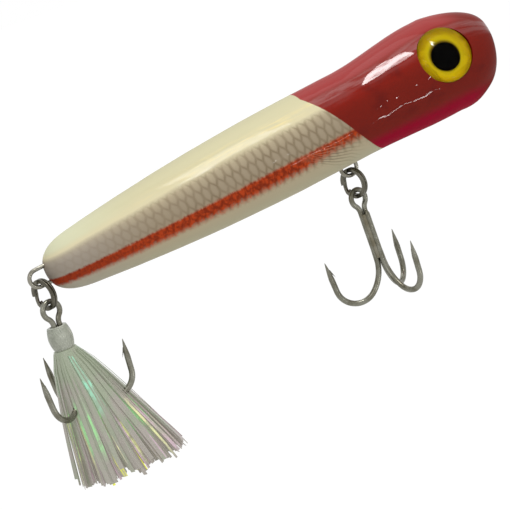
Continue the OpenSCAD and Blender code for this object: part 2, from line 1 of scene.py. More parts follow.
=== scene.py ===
# %% [markdown]
# # A topwater popper
# A popper is a floating lure with a hollow mouth that splashes when it is pulled.
# The solid model gives the places and the joints. This lesson dresses it: a lacquered
# body, domed eyes, bent wire, ground hooks and a skirt of tinsel. Lengths are in
# millimetres while a piece is shaped, and become metres when it is finished.

# %% Load the frame
import math
import random

import bmesh
import bpy
from bmesh.types import BMEdge, BMFace, BMVert
from mathutils import Matrix, Vector, noise


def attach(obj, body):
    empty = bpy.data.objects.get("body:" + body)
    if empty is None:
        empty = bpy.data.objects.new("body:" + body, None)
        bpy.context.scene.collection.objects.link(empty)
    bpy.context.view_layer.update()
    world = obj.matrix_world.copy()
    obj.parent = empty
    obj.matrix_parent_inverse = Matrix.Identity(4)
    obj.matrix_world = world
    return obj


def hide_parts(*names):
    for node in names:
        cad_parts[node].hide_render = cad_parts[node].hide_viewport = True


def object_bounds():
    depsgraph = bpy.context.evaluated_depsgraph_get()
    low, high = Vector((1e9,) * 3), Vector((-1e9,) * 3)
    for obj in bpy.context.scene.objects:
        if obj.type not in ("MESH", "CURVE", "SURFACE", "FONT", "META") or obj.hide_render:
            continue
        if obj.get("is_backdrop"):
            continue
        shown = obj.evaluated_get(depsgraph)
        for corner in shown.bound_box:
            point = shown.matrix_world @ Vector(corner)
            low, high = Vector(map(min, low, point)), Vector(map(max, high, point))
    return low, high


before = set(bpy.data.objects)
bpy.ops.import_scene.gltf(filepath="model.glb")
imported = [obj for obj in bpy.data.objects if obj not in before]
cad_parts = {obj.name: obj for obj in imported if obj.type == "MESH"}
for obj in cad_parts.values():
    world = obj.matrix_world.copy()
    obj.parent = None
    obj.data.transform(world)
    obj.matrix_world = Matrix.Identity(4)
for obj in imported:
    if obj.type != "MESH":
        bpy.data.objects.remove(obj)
cad_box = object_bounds()
MM = 0.001

# %% [markdown]
# ## The body's own frame
# The popper floats nose up, so its body is turned a few degrees about the line tie.
# Shaping a turned body is awkward. It is easier to shape it level, with x measured from
# the tail, and to carry the finished mesh over with one matrix.

# %% Level frame to floating frame
TRIM = math.radians(5.5)
TIE = Vector((105.9, 0, -0.3))
FLOAT = Matrix.Rotation(-TRIM, 4, "Y") @ Matrix.Translation(-TIE)
print("tail tip floats at", tuple(round(c, 2) for c in FLOAT.translation))

# %% [markdown]
# ## Camera
# The photograph looks at the right side from a little behind and above, with a long
# lens, and the picture is rolled so that the lure climbs to the right. One set of Euler
# angles could say that, but it is hard to read back. So three turns follow each other:
# round the lure, up, and the roll.


# %% Camera
def axes(x, y, z, at):
    """The matrix of a frame with these three axes, standing at a place."""
    return Matrix([[x[i], y[i], z[i], at[i]] for i in range(3)] + [[0, 0, 0, 1]])


LOOK_ROUND, LOOK_UP, LOOK_ROLL = (math.radians(d) for d in (-17.8, 7.4, 19.65))
DISTANCE, FIELD, SENSOR = 450.0, 106.6, 36
AIM_LEFT, AIM_DOWN = 3.74, 20.92
target = FLOAT @ Vector((54, 0, 0))
turned = Matrix.Rotation(LOOK_ROUND, 3, "Z") @ Matrix.Rotation(-LOOK_UP, 3, "X")
right, forward, up = (turned @ Matrix.Rotation(LOOK_ROLL, 3, "Y")).col
eye_point = target - DISTANCE * forward
aim = target - AIM_LEFT * right - AIM_DOWN * up
axis_z = (eye_point - aim).normalized()
axis_x = up.cross(axis_z).normalized()
axis_y = axis_z.cross(axis_x)

camera = bpy.data.objects.new("camera", bpy.data.cameras.new("camera"))
bpy.context.scene.collection.objects.link(camera)
camera.matrix_world = axes(axis_x, axis_y, axis_z, eye_point * MM)
camera.data.sensor_width = SENSOR
camera.data.lens = SENSOR * DISTANCE / FIELD
camera.data.clip_start, camera.data.clip_end = 0.01, 20
bpy.context.scene.camera = camera
print("lens", round(camera.data.lens, 1), "mm")

# %% [markdown]
# ## Numbers in a material
# A shader's sums are easier to read as sums than as wired boxes. This small class wraps
# a socket, and each operator on it adds one Math node. A second class holds a material
# and adds every other kind of node with one method.


# %% Sums on sockets
def operator(operation, swapped=False):
    """An operator that adds a Math node. Swapped, it has the socket on its right."""

    def apply(self, other):
        return self.math(operation, *((other, self) if swapped else (self, other)))

    return apply


class Num:
    """A number that varies over a surface. Arithmetic on it adds Math nodes."""

    def __init__(self, finish, socket):
        self.finish, self.socket = finish, socket

    def math(self, operation, *values):
        return self.finish.add("ShaderNodeMath", dict(enumerate(values)), operation=operation)

    __add__, __radd__ = operator("ADD"), operator("ADD", True)
    __sub__, __rsub__ = operator("SUBTRACT"), operator("SUBTRACT", True)
    __mul__, __rmul__ = operator("MULTIPLY"), operator("MULTIPLY", True)
    __truediv__, __pow__ = operator("DIVIDE"), operator("POWER")


print("sums ready")


# %% A material and its nodes
class Finish:
    """The nodes of a material, or of the world, round one shader."""

    def __init__(self, name, world=None, shader="Principled BSDF", **fixed):
        self.material = world or bpy.data.materials.new(name)
        self.material.use_nodes = True
        self.tree = self.material.node_tree
        self.shader = self.tree.nodes[shader]
        for words, value in fixed.items():
            self.set(words.replace("_", " ").title().replace("Ior", "IOR"), value)

    def feed(self, socket, value):
        if isinstance(value, Num):
            self.tree.links.new(value.socket, socket)
        elif socket.type == "RGBA" and len(value) == 3:
            socket.default_value = (*value, 1)
        else:
            socket.default_value = value

    def set(self, socket, value):
        self.feed(self.shader.inputs[socket], value)

    def add(self, kind, sockets=None, out=0, **settings):
        node = self.tree.nodes.new(kind)
        for key, value in settings.items():
            setattr(node, key, value)
        for key, value in (sockets or {}).items():
            self.feed(node.inputs[key], value)
        return Num(self, node.outputs[out])

    def place(self):
        """Object coordinates, in metres."""
        return self.add("ShaderNodeTexCoord", out="Object")

    def value(self, name):
        """A number kept on the mesh's points."""
        return self.add("ShaderNodeAttribute", out="Fac", attribute_name=name)

    def noise(self, size, detail=2.0, at=None):
        """Soft noise from 0 to 1 whose lumps are about size millimetres."""
        spots = {"Vector": at or self.place(), "Scale": 1 / (size * MM), "Detail": detail}
        return self.add("ShaderNodeTexNoise", spots)

    def step(self, value, start, end):
        """0 before start and 1 after end, with an eased climb between."""
        ends = {0: value, 1: start, 2: end, 3: 0.0, 4: 1.0}
        return self.add("ShaderNodeMapRange", ends, interpolation_type="SMOOTHSTEP")

    def mix(self, share, low, high):
        """A colour that is low at share 0 and high at share 1."""
        return self.add("ShaderNodeMix", {0: share, 6: low, 7: high}, out=2, data_type="RGBA")

    def ramp(self, share, stops):
        """A colour that runs through stops, which are pairs of a share and a colour."""
        blended = self.add("ShaderNodeValToRGB", {"Fac": share})
        marks = blended.socket.node.color_ramp.elements
        marks.remove(marks[1])
        marks[0].position, marks[0].color = stops[0][0], (*stops[0][1], 1)
        for place, colour in stops[1:]:
            marks.new(place).color = (*colour, 1)
        return blended

    def plane(self, x, y):
        """A place on a plane, from two numbers."""
        return self.add("ShaderNodeCombineXYZ", {0: x, 1: y})

    def blend(self, share, low, high):
        """Shows the shader low at share 0 and the shader high at share 1."""
        shown = self.add("ShaderNodeMixShader", {0: share, 1: low, 2: high})
        self.tree.links.new(shown.socket, self.tree.nodes["Material Output"].inputs["Surface"])

    def relief(self, height, strength, depth):
        """Bumps of a height from 0 to 1 and a depth in millimetres."""
        bumps = {"Height": height, "Strength": strength, "Distance": depth * MM}
        self.set("Normal", self.add("ShaderNodeBump", bumps))


def srgb(r, g, b):
    """A screen colour as the linear colour that shaders use."""
    shares = (r / 255, g / 255, b / 255)
    return tuple(((c + 0.055) / 1.055) ** 2.4 if c > 0.04 else c / 12.92 for c in shares)


print("finish helper ready")

# %% [markdown]
# ## World and floor
# The photograph is a cut-out on white. A white backdrop would light the lure too much.
# So the world and the floor only show white to the camera, and to the rays that metal
# throws back and clear plastic lets through, and light the lure softly. The lure hangs
# from its line, so the floor lies well below.

# %% World and floor
scene = bpy.context.scene
scene.view_settings.view_transform = "Standard"
WORLD_LIGHT, FLOOR_GLOW, FLOOR_SHARE = 0.39, 1.1, 0.88
FLOOR_Z, FLOOR_HALF = -0.16, 6


def seen_white(finish):
    """1 for the camera's rays, and for those off metal and through clear plastic."""
    seen = finish.add("ShaderNodeLightPath", out="Is Camera Ray")
    outputs = seen.socket.node.outputs
    for kind in ("Is Glossy Ray", "Is Transmission Ray"):
        seen = seen.math("MAXIMUM", seen, Num(finish, outputs[kind]))
    return seen


scene.world = bpy.data.worlds.new("studio")
sky = Finish("studio", scene.world, "Background", color=(1, 1, 1))
sky.set("Strength", WORLD_LIGHT + (1 - WORLD_LIGHT) * seen_white(sky))

pale = Finish("pale_floor", base_color=(0.86, 0.86, 0.85), roughness=0.9)
glow = pale.add("ShaderNodeEmission", {"Color": (1, 1, 1), "Strength": FLOOR_GLOW})
lit = Num(pale, pale.shader.outputs[0])
pale.blend(FLOOR_SHARE * seen_white(pale), lit, glow)


def new_object(name, bm):
    """Turns a bmesh into an object of the scene."""
    thing = bpy.data.objects.new(name, bpy.data.meshes.new(name))
    bm.to_mesh(thing.data)
    bm.free()
    scene.collection.objects.link(thing)
    return thing


bm = bmesh.new()
bmesh.ops.create_grid(bm, x_segments=2, y_segments=2, size=FLOOR_HALF)
bmesh.ops.translate(bm, vec=(0, 0, FLOOR_Z), verts=bm.verts)
floor = new_object("floor", bm)
floor.data.materials.append(pale.material)
floor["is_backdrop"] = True
print("floor at", FLOOR_Z, "m")

# %% [markdown]
# ## Studio lamps
# Lacquer is lit with soft boxes, because a bare bulb leaves only a dot on it. Area lamps
# do the same here. A wide one above and behind shapes the back, and a strip overhead
# draws the edge of light along it. A fill lights the near side. A window box puts the
# bright patch on the head, and three small hard lamps put sparks in the eye and on the
# cheek.


# %% Lamps
def soft_box(name, size, power, place, aim=(0, 0, 0)):
    """A rectangular lamp, its place and aim in metres from the lure's middle."""
    lamp = bpy.data.lights.new(name, "AREA")
    lamp.shape, lamp.size, lamp.size_y, lamp.energy = "RECTANGLE", *size, power
    box = bpy.data.objects.new(name, lamp)
    box.location = target * MM + Vector(place)
    box.rotation_euler = (Vector(aim) - Vector(place)).to_track_quat("-Z", "Y").to_euler()
    scene.collection.objects.link(box)


CHEEK = (0.03, -0.01, 0)
LAMPS = [
    # name, width and height, watts, place, and an aim other than the middle
    ("overhead", (0.7, 0.42), 0.42, (0.12, 0.19, 0.44)),
    ("strip", (0.5, 0.16), 0.39, (0.11, 0.035, 0.535)),
    ("window", (0.1, 0.24), 1.4, (0.05, -0.2, 0.555)),
    ("spark", (0.035, 0.045), 0.25, (0.02, -0.3, 0.476)),
    ("low_spark", (0.034, 0.008), 0.045, (0.095, -0.205, -0.14), CHEEK),
    ("glint", (0.02, 0.02), 0.06, (0.148, -0.546, -0.062)),
    ("front_fill", (0.3, 0.3), 0.6, (-0.42, -0.55, 0.3)),
]
for lamp in LAMPS:
    soft_box(*lamp)

# %% [markdown]
# ## From a bmesh to a piece
# Each piece is shaped in a bmesh in millimetres. This helper closes doubled points,
# turns the faces outwards, keeps hard edges hard, carries the mesh to its place in
# metres, gives the piece its material and its body, and hides the solids it stands for.


# %% Finish a piece
def make_piece(name, bm, finish, body, stands_for, place, sharp=40):
    bmesh.ops.remove_doubles(bm, verts=bm.verts, dist=1e-4)
    bmesh.ops.recalc_face_normals(bm, faces=bm.faces)
    for face in bm.faces:
        face.smooth = True
    for edge in bm.edges:
        edge.smooth = edge.calc_face_angle(0) < math.radians(sharp)
    bmesh.ops.transform(bm, matrix=Matrix.Scale(MM, 4) @ place, verts=bm.verts)
    piece = new_object(name, bm)
    piece.data.materials.append(finish.material)
    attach(piece, body)
    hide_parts(*stands_for)
    print(name, len(piece.data.polygons), "faces")


print("piece helper ready")

# %% [markdown]
# ## Body: the outline
# The real body is moulded in two halves, glued, filled and lacquered, so no seam shows.
# It could be sculpted, but its outline is plain: a taper, a rounded tail, a swelling
# head and a nose that rolls over into the mouth cup. A few rules give its radius and
# its centre at any station.

# %% Rules of the outline
LENGTH, BELLY_R, TAIL_R = 107.0, 9.5, 5.1
TAPER_END, TAIL_CAP, TAIL_POWER = 63.5, 8.2, 2.75
FLARE_START, FLARE_END, FLARE, HEAD_LIFT = 73.0, 93.5, 1.3, 0.5
NOSE_START, NOSE_POWER = 96.0, 1.85
LIP_R, LIP_DROP, SLANT = 5.8, 0.85, math.radians(13.5)
CUP_DEPTH, MOUTH_R = 4.6, 5.6


def ease(u):
    c = min(1.0, max(0.0, u))
    return c * c * (3 - 2 * c)


def head_share(x):
    return ease((x - FLARE_START) / (FLARE_END - FLARE_START))


def nose_share(x):
    return min(1.0, max(0.0, (x - NOSE_START) / (LENGTH - NOSE_START)))


def taper(x):
    return BELLY_R - (BELLY_R - TAIL_R) * (max(0.0, TAPER_END - x) / TAPER_END) ** 2


def body_radius(x):
    cap = (1 - (1 - x / TAIL_CAP) ** TAIL_POWER) ** (1 / TAIL_POWER) if x < TAIL_CAP else 1
    side = taper(x) * cap + FLARE * head_share(x)
    return LIP_R + (side - LIP_R) * (1 - nose_share(x) ** NOSE_POWER) ** (1 / NOSE_POWER)


def body_height(x):
    return HEAD_LIFT * head_share(x) * (1 - nose_share(x)) - LIP_DROP * nose_share(x)


def ring_matrix(x, z, radius, tilt):
    """Carries a unit circle to a ring of the body, leaning back by tilt."""
    s, c = math.sin(tilt), math.cos(tilt)
    return axes((0, radius, 0), (radius * s, 0, radius * c), (c, 0, -s), (x, 0, z))


def station_ring(x):
    tilt = math.atan(math.tan(SLANT) * ease(nose_share(x)))
    return ring_matrix(x, body_height(x), body_radius(x), tilt)


def mouth_ring(radius, depth):
    """A ring of the mouth, depth behind the plane of the lips."""
    x = LENGTH - depth * math.cos(SLANT)
    return ring_matrix(x, -LIP_DROP + depth * math.sin(SLANT), radius, SLANT)


print("head radius", round(body_radius(FLARE_END), 2), "mm")

# %% [markdown]
# ## Body: the skin
# A Screw modifier could turn the outline, but the mouth leans and the centre wanders. So
# one circle is pushed along from ring to ring, over the lips and down into the cup, and
# the skin is a single closed surface. Rings stand closer where the outline turns.


# %% Rings from tail to cup
def only(kind, geom):
    """The points, the edges or the faces among what an operator returns."""
    return [g for g in geom if isinstance(g, kind)]


def push(bm, loop, matrix):
    """Extrudes a loop of edges once, moves the new loop and returns its edges."""
    made = bmesh.ops.extrude_edge_only(bm, edges=loop)["geom"]
    points = only(BMVert, made)
    bmesh.ops.transform(bm, matrix=matrix, verts=points)
    held = set(points)
    return [e for e in only(BMEdge, made) if held.issuperset(e.verts)]


QUARTER = math.pi / 2
SIDES = 112
CAP_STEPS, SIDE_STEP, NOSE_STEPS, CUP_STEPS = 22, 0.9, 26, 12
TAIL_TIP = 0.004
LIP_ROLL = ((5.7, 0.01), (5.62, 0.05), (5.57, 0.15))
CUP_START = 0.06
cap_opening = [1 - math.cos(QUARTER * i / CAP_STEPS) for i in range(CAP_STEPS)]
cap = [TAIL_TIP + (TAIL_CAP - TAIL_TIP) * share for share in cap_opening]
side_count = round((NOSE_START - TAIL_CAP) / SIDE_STEP)
side = [TAIL_CAP + (NOSE_START - TAIL_CAP) * i / side_count for i in range(side_count)]
nose_closing = [math.sin(QUARTER * i / NOSE_STEPS) for i in range(NOSE_STEPS + 1)]
nose = [NOSE_START + (LENGTH - NOSE_START) * share for share in nose_closing]
cup_radius = (MOUTH_R**2 + CUP_DEPTH**2) / (2 * CUP_DEPTH)
cup_rise = cup_radius - CUP_DEPTH
lip_angle = math.acos(cup_rise / cup_radius)

rings = [station_ring(x) for x in cap + side + nose]
rings += [mouth_ring(radius, depth) for radius, depth in LIP_ROLL]
for i in range(1, CUP_STEPS):
    angle = lip_angle * (1 - CUP_START) * (1 - i / CUP_STEPS)
    rings.append(mouth_ring(cup_radius * math.sin(angle), cup_radius * math.cos(angle) - cup_rise))

skin = bmesh.new()
bmesh.ops.create_circle(
    skin, cap_ends=True, cap_tris=True, segments=SIDES, radius=1, matrix=rings[0]
)
loop = [e for e in skin.edges if e.is_boundary]
for here, there in zip(rings, rings[1:]):
    loop = push(skin, loop, there @ here.inverted())
cup_floor = mouth_ring(1, CUP_DEPTH).translation
bmesh.ops.pointmerge(skin, verts=list({v for e in loop for v in e.verts}), merge_co=cup_floor)
bmesh.ops.recalc_face_normals(skin, faces=skin.faces)
print("skin of", len(skin.faces), "faces, open edges:", sum(e.is_boundary for e in skin.edges))

# %% [markdown]
# ## Body: eye sockets
# The eyes sit in two round pockets. Cutting a pocket by hand across so many rings is
# slow, so two drums are taken away with a Boolean modifier, which is then applied.

# %% Cut the sockets
EYE_X, EYE_RISE, EYE_SEAT, EYE_R = 94.5, math.radians(18), 8.8, 6.0
SOCKET_R, DRUM_DEPTH = EYE_R + 0.08, 8
SIDES_OF_HEAD = {"left": 1, "right": -1}


def eye_frame(side_sign):
    """Carries a place in the eye's frame, z out of the head, to the floating lure."""
    turn = Matrix.Rotation(-side_sign * (QUARTER - EYE_RISE), 4, "X")
    return FLOAT @ Matrix.Translation((EYE_X, 0, body_height(EYE_X))) @ turn


blank = new_object("body_blank", skin)
drums = []
for name, sign in SIDES_OF_HEAD.items():
    bm = bmesh.new()
    out_of_seat = Matrix.Translation((0, 0, EYE_SEAT + DRUM_DEPTH / 2))
    bmesh.ops.create_cone(
        bm, cap_ends=True, segments=96, radius1=SOCKET_R, radius2=SOCKET_R, depth=DRUM_DEPTH,
        matrix=FLOAT.inverted() @ eye_frame(sign) @ out_of_seat,
    )
    drums.append(new_object("drum_" + name, bm))
    cut = blank.modifiers.new("socket_" + name, "BOOLEAN")
    cut.operation, cut.solver, cut.object = "DIFFERENCE", "EXACT", drums[-1]
bpy.context.view_layer.update()
cut_mesh = blank.evaluated_get(bpy.context.evaluated_depsgraph_get()).to_mesh()
skin = bmesh.new()
skin.from_mesh(cut_mesh)
for thing in [blank, *drums]:
    bpy.data.objects.remove(thing)
print("skin with sockets:", len(skin.faces), "faces")

# %% [markdown]
# ## Body: paint
# The lure is sprayed: a cream back, pearl sides with scales blown through netting, an
# orange stripe, a few fin strokes, and a red head with a slanting edge. An image could
# carry that, but sums on two numbers, the station along the body and the angle above
# level, stay sharp at any size. Both are kept on the mesh's points. Round the tail the
# angle follows the height, so that the stripe runs on level. Lacquer never dries quite
# even, so waves of a few hundredths of a millimetre, and deeper dents on the cheek, tear
# the edges of its highlights.

# %% Station and rise on the points
WAVE_SIZE, WAVE_DEPTH = 3.4, 0.03
DENT_SIZE, DENT_DEPTH = 1.9, 0.11
station_layer = skin.verts.layers.float.new("station")
rise_layer = skin.verts.layers.float.new("rise")


def cheek_share(x, angle):
    """1 on the lower cheek of the head, and less round it."""
    lengthwise = ease((x - 70) / 8) * ease((102 - x) / 6)
    return lengthwise * ease((angle + 48) / 16) * ease((18 - angle) / 14)


for v in skin.verts:
    height = v.co.z - body_height(v.co.x)
    v[station_layer] = v.co.x
    v[rise_layer] = math.degrees(math.atan2(height, abs(v.co.y)))
    if v.co.x < TAIL_CAP:
        v[rise_layer] = math.degrees(math.asin(max(-1.0, min(1.0, height / taper(v.co.x)))))
skin.normal_update()
for v in skin.verts:
    wave = WAVE_DEPTH * noise.noise(v.co / WAVE_SIZE)
    dent = DENT_DEPTH * noise.noise(v.co / DENT_SIZE)
    v.co += v.normal * (wave + cheek_share(v[station_layer], v[rise_layer]) * dent)
print("paint coordinates on", len(skin.verts), "points")

# %% [markdown]
# ## Ground coat
# Under the pattern lies a pearl ground, dull along the side and cream on the back. Each
# blend could be mixed on its own. One colour ramp over the angle keeps them all in a
# row, and noise frays them as a spray gun does. The ramp also holds painted light: the
# upper flank near 35 degrees is painted lighter than the top of the back.

# %% Colours of the back, the sides and the belly
paint = Finish("lacquer", coat_roughness=0.035, specular_ior_level=0.0)
station, rise = paint.value("station"), paint.value("rise")
grain = paint.noise(0.22, 3) - 0.5
drift = paint.noise(5.0, 2) - 0.5
# Two-tone paint and painted light together: the 35 degree stop is painted lighter than the top.
RISE_STOPS = [
    (-90, srgb(194, 188, 165)), (-58, srgb(185, 178, 150)), (-34, srgb(190, 176, 147)),
    (-6, srgb(167, 151, 127)), (12, srgb(169, 154, 130)), (24, srgb(186, 171, 143)),
    (35, srgb(227, 217, 179)), (56, srgb(213, 206, 167)), (90, srgb(202, 197, 163)),
]
level = (rise + 6 * drift + 4 * grain + 90) / 180
pearl = paint.ramp(level, [((degrees + 90) / 180, colour) for degrees, colour in RISE_STOPS])
tail_share = paint.step(station, 26, 2)
pearl = paint.mix(0.4 * tail_share * paint.step(rise, 40, 20), pearl, srgb(167, 162, 161))
pearl = paint.mix(0.6 * tail_share * paint.step(rise, 34, 50), pearl, srgb(221, 225, 194))
ARC_PER_DEGREE = math.radians(1) * BELLY_R
DRAWN_OUT = 0.15
brushed = paint.plane(DRAWN_OUT * MM * station, ARC_PER_DEGREE * MM * rise)
streak = paint.noise(0.9, 3, at=brushed)
# A painted sheen: a warm, streaky band of painted highlight along the upper flank.
painted_sheen = paint.step(rise, 33, 41) * paint.step(rise, 56, 46) * paint.step(station, 8, 56)
pearl = paint.mix(0.8 * painted_sheen * paint.step(streak, 0.4, 0.8), pearl, srgb(248, 230, 168))
print("ground coat:", len(RISE_STOPS), "bands")

# %% [markdown]
# ## Scales
# Netting laid on the side before spraying leaves rows of scales. A Voronoi texture has
# cells too, but square or scattered ones. Two families of wavy lines, in opposite step,
# run together along each row and cross between rows, as a stretched net does.

# %% Scales
SCALE_WIDTH, ROW_RISE = 1.83, 16.2
row_turn = math.pi * (rise - 4 + 3 * drift) / ROW_RISE
sway = row_turn.math("COSINE", row_turn) * 1.25
sway = 0.25 * sway.math("MINIMUM", sway.math("MAXIMUM", sway, -1.0), 1.0)
along = station / SCALE_WIDTH + 0.5 * drift + 0.012 * rise
first_net = along.math("PINGPONG", along + sway, 0.5)
second_net = along.math("PINGPONG", along + 0.5 - sway, 0.5)
gap = first_net.math("MINIMUM", first_net, second_net)
patchy = paint.noise(1.3, 2)
net = paint.step(gap + 0.12 * grain + 0.12 * (patchy - 0.5), 0.3, 0.0)
sprayed = paint.step(rise, 34, 22) * paint.step(rise, -40, -24)
sprayed = sprayed * (0.2 + 0.8 * paint.step(station, 4, 42))
net = net * sprayed * (0.45 + 0.9 * patchy + 1.2 * drift)
pearl = paint.mix(0.58 * net, pearl, srgb(122, 105, 77))
print("scales", SCALE_WIDTH, "mm wide")

# %% [markdown]
# ## Stripe
# An orange stripe is sprayed along the side, and sinks towards the tail. A painted mask
# would blur close up. So two sums give its upper and its lower edge, and noise drawn out
# across it frays both.

# %% Stripe
STRIPE_END, STRIPE_TOP, STRIPE_FOOT = 68, -9.2, -28.0
from_head = (STRIPE_END - station) / STRIPE_END
from_head = from_head.math("MAXIMUM", from_head, 0.0)
stroke = paint.noise(0.5, 2, at=paint.plane(station * MM, 0.03 * MM * rise)) - 0.5
blot = paint.noise(0.7, 3) - 0.5
stripe_top = STRIPE_TOP - 4.3 * from_head**2.2 + 4 * stroke + 5 * blot
stripe_foot = STRIPE_FOOT - 7.5 * from_head**2.0 + 5 * stroke + 9 * blot - 1.5 * net
stripe_foot = stripe_foot + 6 * paint.step(station, 54, 66)
stripe = paint.step(rise - stripe_top, 2.6, -2.8) * paint.step(rise - stripe_foot, -7.0, 7.0)
burnt = paint.step(blot + 0.6 * stroke + 0.2 * net, -0.16, 0.26)
orange = paint.mix(burnt, srgb(194, 66, 20), srgb(139, 43, 14))
orange = paint.mix(0.5 * tail_share, orange, srgb(128, 33, 2))
pearl = paint.mix(0.97 * stripe, pearl, orange)
print("stripe from", STRIPE_TOP, "down to", STRIPE_FOOT, "degrees at the head")

# %% [markdown]
# ## Fin strokes
# Behind the head a few thin strokes fan out like a fin. They could be curves laid on the
# skin, but paint has no thickness. The angle and the distance from one root give the
# same fan as a colour.

# %% Fin strokes
ROOT_STATION, ROOT_RISE, RAY_STEP, PER_RADIAN = 53.5, -7.0, 3.6, 57.3
ahead = station - ROOT_STATION
below = (ROOT_RISE - rise) * ARC_PER_DEGREE
reach = (ahead * ahead + below * below) ** 0.5
fan = below.math("ARCTAN2", below, ahead) * PER_RADIAN - 0.35 * reach + 7 * drift
ray_gap = fan.math("PINGPONG", fan / RAY_STEP, 0.5)
ray = paint.step(ray_gap, 0.3, 0.0) * paint.step(reach, 1.0, 5.0) * paint.step(reach, 20, 9)
ray = ray * paint.step(fan, 2, 6) * paint.step(fan, 34, 22) * paint.step(station, 53.0, 54.5)
ray_colour = paint.mix(stripe, srgb(106, 97, 77), srgb(198, 128, 98))
pearl = paint.mix(0.72 * ray, pearl, ray_colour)
print("a stroke every", RAY_STEP, "degrees")

# %% [markdown]
# ## Red head and lacquer
# The head is masked off and sprayed last, so its edge is sharp. It slants forward from
# back to belly. Clear lacquer covers everything. That could be a second skin, but the
# shader's own coat gives the same shine.

# %% Red head and lacquer
EDGE_TOP, EDGE_SLANT = 63.0, 12.4
slant_share = (62 - rise) / 132
slant_share = slant_share.math("MAXIMUM", slant_share, 0.0)
edge = EDGE_TOP + EDGE_SLANT * slant_share**1.1
red_share = paint.step(station - edge + 0.25 * drift + 0.2 * grain, -0.12, 0.12)
flank = paint.step(station, 104, 97)
red = paint.mix(flank * paint.step(rise, -30, -48), srgb(122, 25, 11), srgb(149, 6, 40))
red = paint.mix(flank * paint.step(rise, 10, 34), red, srgb(139, 26, 12))
# Above 50 degrees the red is painted pink: a painted reflection of the light overhead.
red = paint.mix(flank * paint.step(rise, 50, 58), red, srgb(159, 52, 50))
cloudy = paint.noise(6.0, 3)
shaded = paint.step(cloudy, 0.5, 0.68) * paint.step(rise, 44, 26) * paint.step(rise, -34, -18)
red = paint.mix(0.5 * shaded, red, srgb(92, 14, 10))
paint.set("Base Color", paint.mix(red_share, pearl, red))
crown = red_share * paint.step(rise, 24, 34) * paint.step(rise, 54, 46)
coat = 0.06 + 0.16 * red_share * paint.step(rise, -48, -30) + 0.08 * paint.step(rise, 30, 36)
paint.set("Coat Weight", coat + 0.75 * crown * paint.step(streak, 0.3, 0.6))
paint.set("Roughness", 0.1 + 0.06 * grain + 0.06 * stripe)
paint.relief(0.75 * drift + 0.5 * (streak - 0.5) + 0.25 * net, 0.3, 0.12)

halves = ("left_body_half", "right_body_half")
make_piece("body_shell", skin, paint, "body", halves, FLOAT, sharp=38)

# %% [markdown]
# ## Eyes
# Each eye is a printed disc, a black disc and a clear dome. An image could carry the
# print, but its rings are one ramp over the distance from the middle. Its darkest ring,
# round the black disc, is painted shade. A glass shader would darken the disc, so the
# dome mixes a clear and a glossy shader.

# %% Eye finishes
BLACK_DROP, IRIS_SPAN, POLISH_GAIN = 0.5, 6.4, 16


def iris_finish(name, sign):
    gold = Finish("iris_" + name, roughness=0.35, specular_ior_level=0.05)
    frame_matrix = eye_frame(sign)
    centre = frame_matrix @ Vector((0, sign * BLACK_DROP * 0.5, 0)) * MM
    seat = {"Vector": gold.place(), "Location": centre, "Rotation": frame_matrix.to_euler()}
    flat = gold.add("ShaderNodeMapping", seat, vector_type="TEXTURE")
    x = gold.add("ShaderNodeSeparateXYZ", {0: flat}, out="X")
    y = Num(gold, x.socket.node.outputs["Y"])
    radius = (x * x + y * y) ** 0.5 / MM
    spoke = gold.noise(0.5, 2, at=flat)
    bands = radius / IRIS_SPAN + 0.03 * (spoke - 0.5)
    # The darkest ring, round the black disc, is painted shade. The other rings are print.
    stops = [
        (0.0, srgb(96, 76, 10)), (0.48, srgb(96, 73, 4)), (0.58, srgb(202, 177, 14)),
        (0.72, srgb(209, 177, 4)), (0.84, srgb(184, 146, 0)), (0.95, srgb(141, 114, 4)),
    ]
    gold.set("Base Color", gold.ramp(bands, stops))
    gold.relief(spoke, 0.1, 0.1)
    return gold


black = Finish("pupil_black", roughness=0.4, specular_ior_level=0.0)
black.set("Base Color", black.mix(black.noise(0.6), srgb(2, 2, 2), srgb(6, 5, 5)))

clear = Finish("clear_dome")
bent = clear.add("ShaderNodeFresnel", {"IOR": 1.1})
front = 1 - clear.add("ShaderNodeNewGeometry", out="Backfacing")
through = clear.add("ShaderNodeBsdfTransparent", {"Color": (0.985, 0.985, 0.97)})
shine = clear.add("ShaderNodeBsdfGlossy", {"Color": (1, 1, 1), "Roughness": 0.03})
clear.blend(bent * front * (1 + POLISH_GAIN * clear.value("polish")), through, shine)
clear.tree.nodes.remove(clear.shader)
print("eye finishes made")

# %% [markdown]
# ## Discs and domes
# A dome could be cut from a sphere. It is cleaner to turn it from one half-profile with a
# spin, which also hollows it underneath where the black disc lies. One spot high on it
# is polished brighter than the rest, and holds the eye's catchlight.

# %% Discs and domes
BLACK_R, DISC_T, BLACK_T, DOME_H = 3.1, 0.7, 0.3, 2.0
IRIS_RIM, BLACK_RIM = 0.12, 0.1
DOME_STEPS, POCKET_R, POCKET_DEPTH = 14, 4.2, 0.36
POLISHED, POLISH_CORE, POLISH_FADE = (-1.83, 2.85), 0.2, 0.7


def disc(radius, thickness, rim):
    """A round plate from z 0 up, its upper rim rounded."""
    bm = bmesh.new()
    bmesh.ops.create_circle(bm, cap_ends=True, segments=72, radius=radius)
    top = bmesh.ops.extrude_face_region(bm, geom=bm.faces[:])["geom"]
    bmesh.ops.translate(bm, vec=(0, 0, thickness), verts=only(BMVert, top))
    edges = [e for e in bm.edges if min(v.co.z for v in e.verts) > thickness - 1e-6]
    bmesh.ops.bevel(
        bm, geom=edges, offset=rim, offset_type="OFFSET", affect="EDGES", segments=3, profile=0.5,
        material=-1,
    )
    return bm


def grow(bm, point, move):
    """Extrudes one point by a move and returns the new point."""
    tip = bmesh.ops.extrude_vert_indiv(bm, verts=[point])["verts"]
    bmesh.ops.translate(bm, vec=move, verts=tip)
    return tip[0]


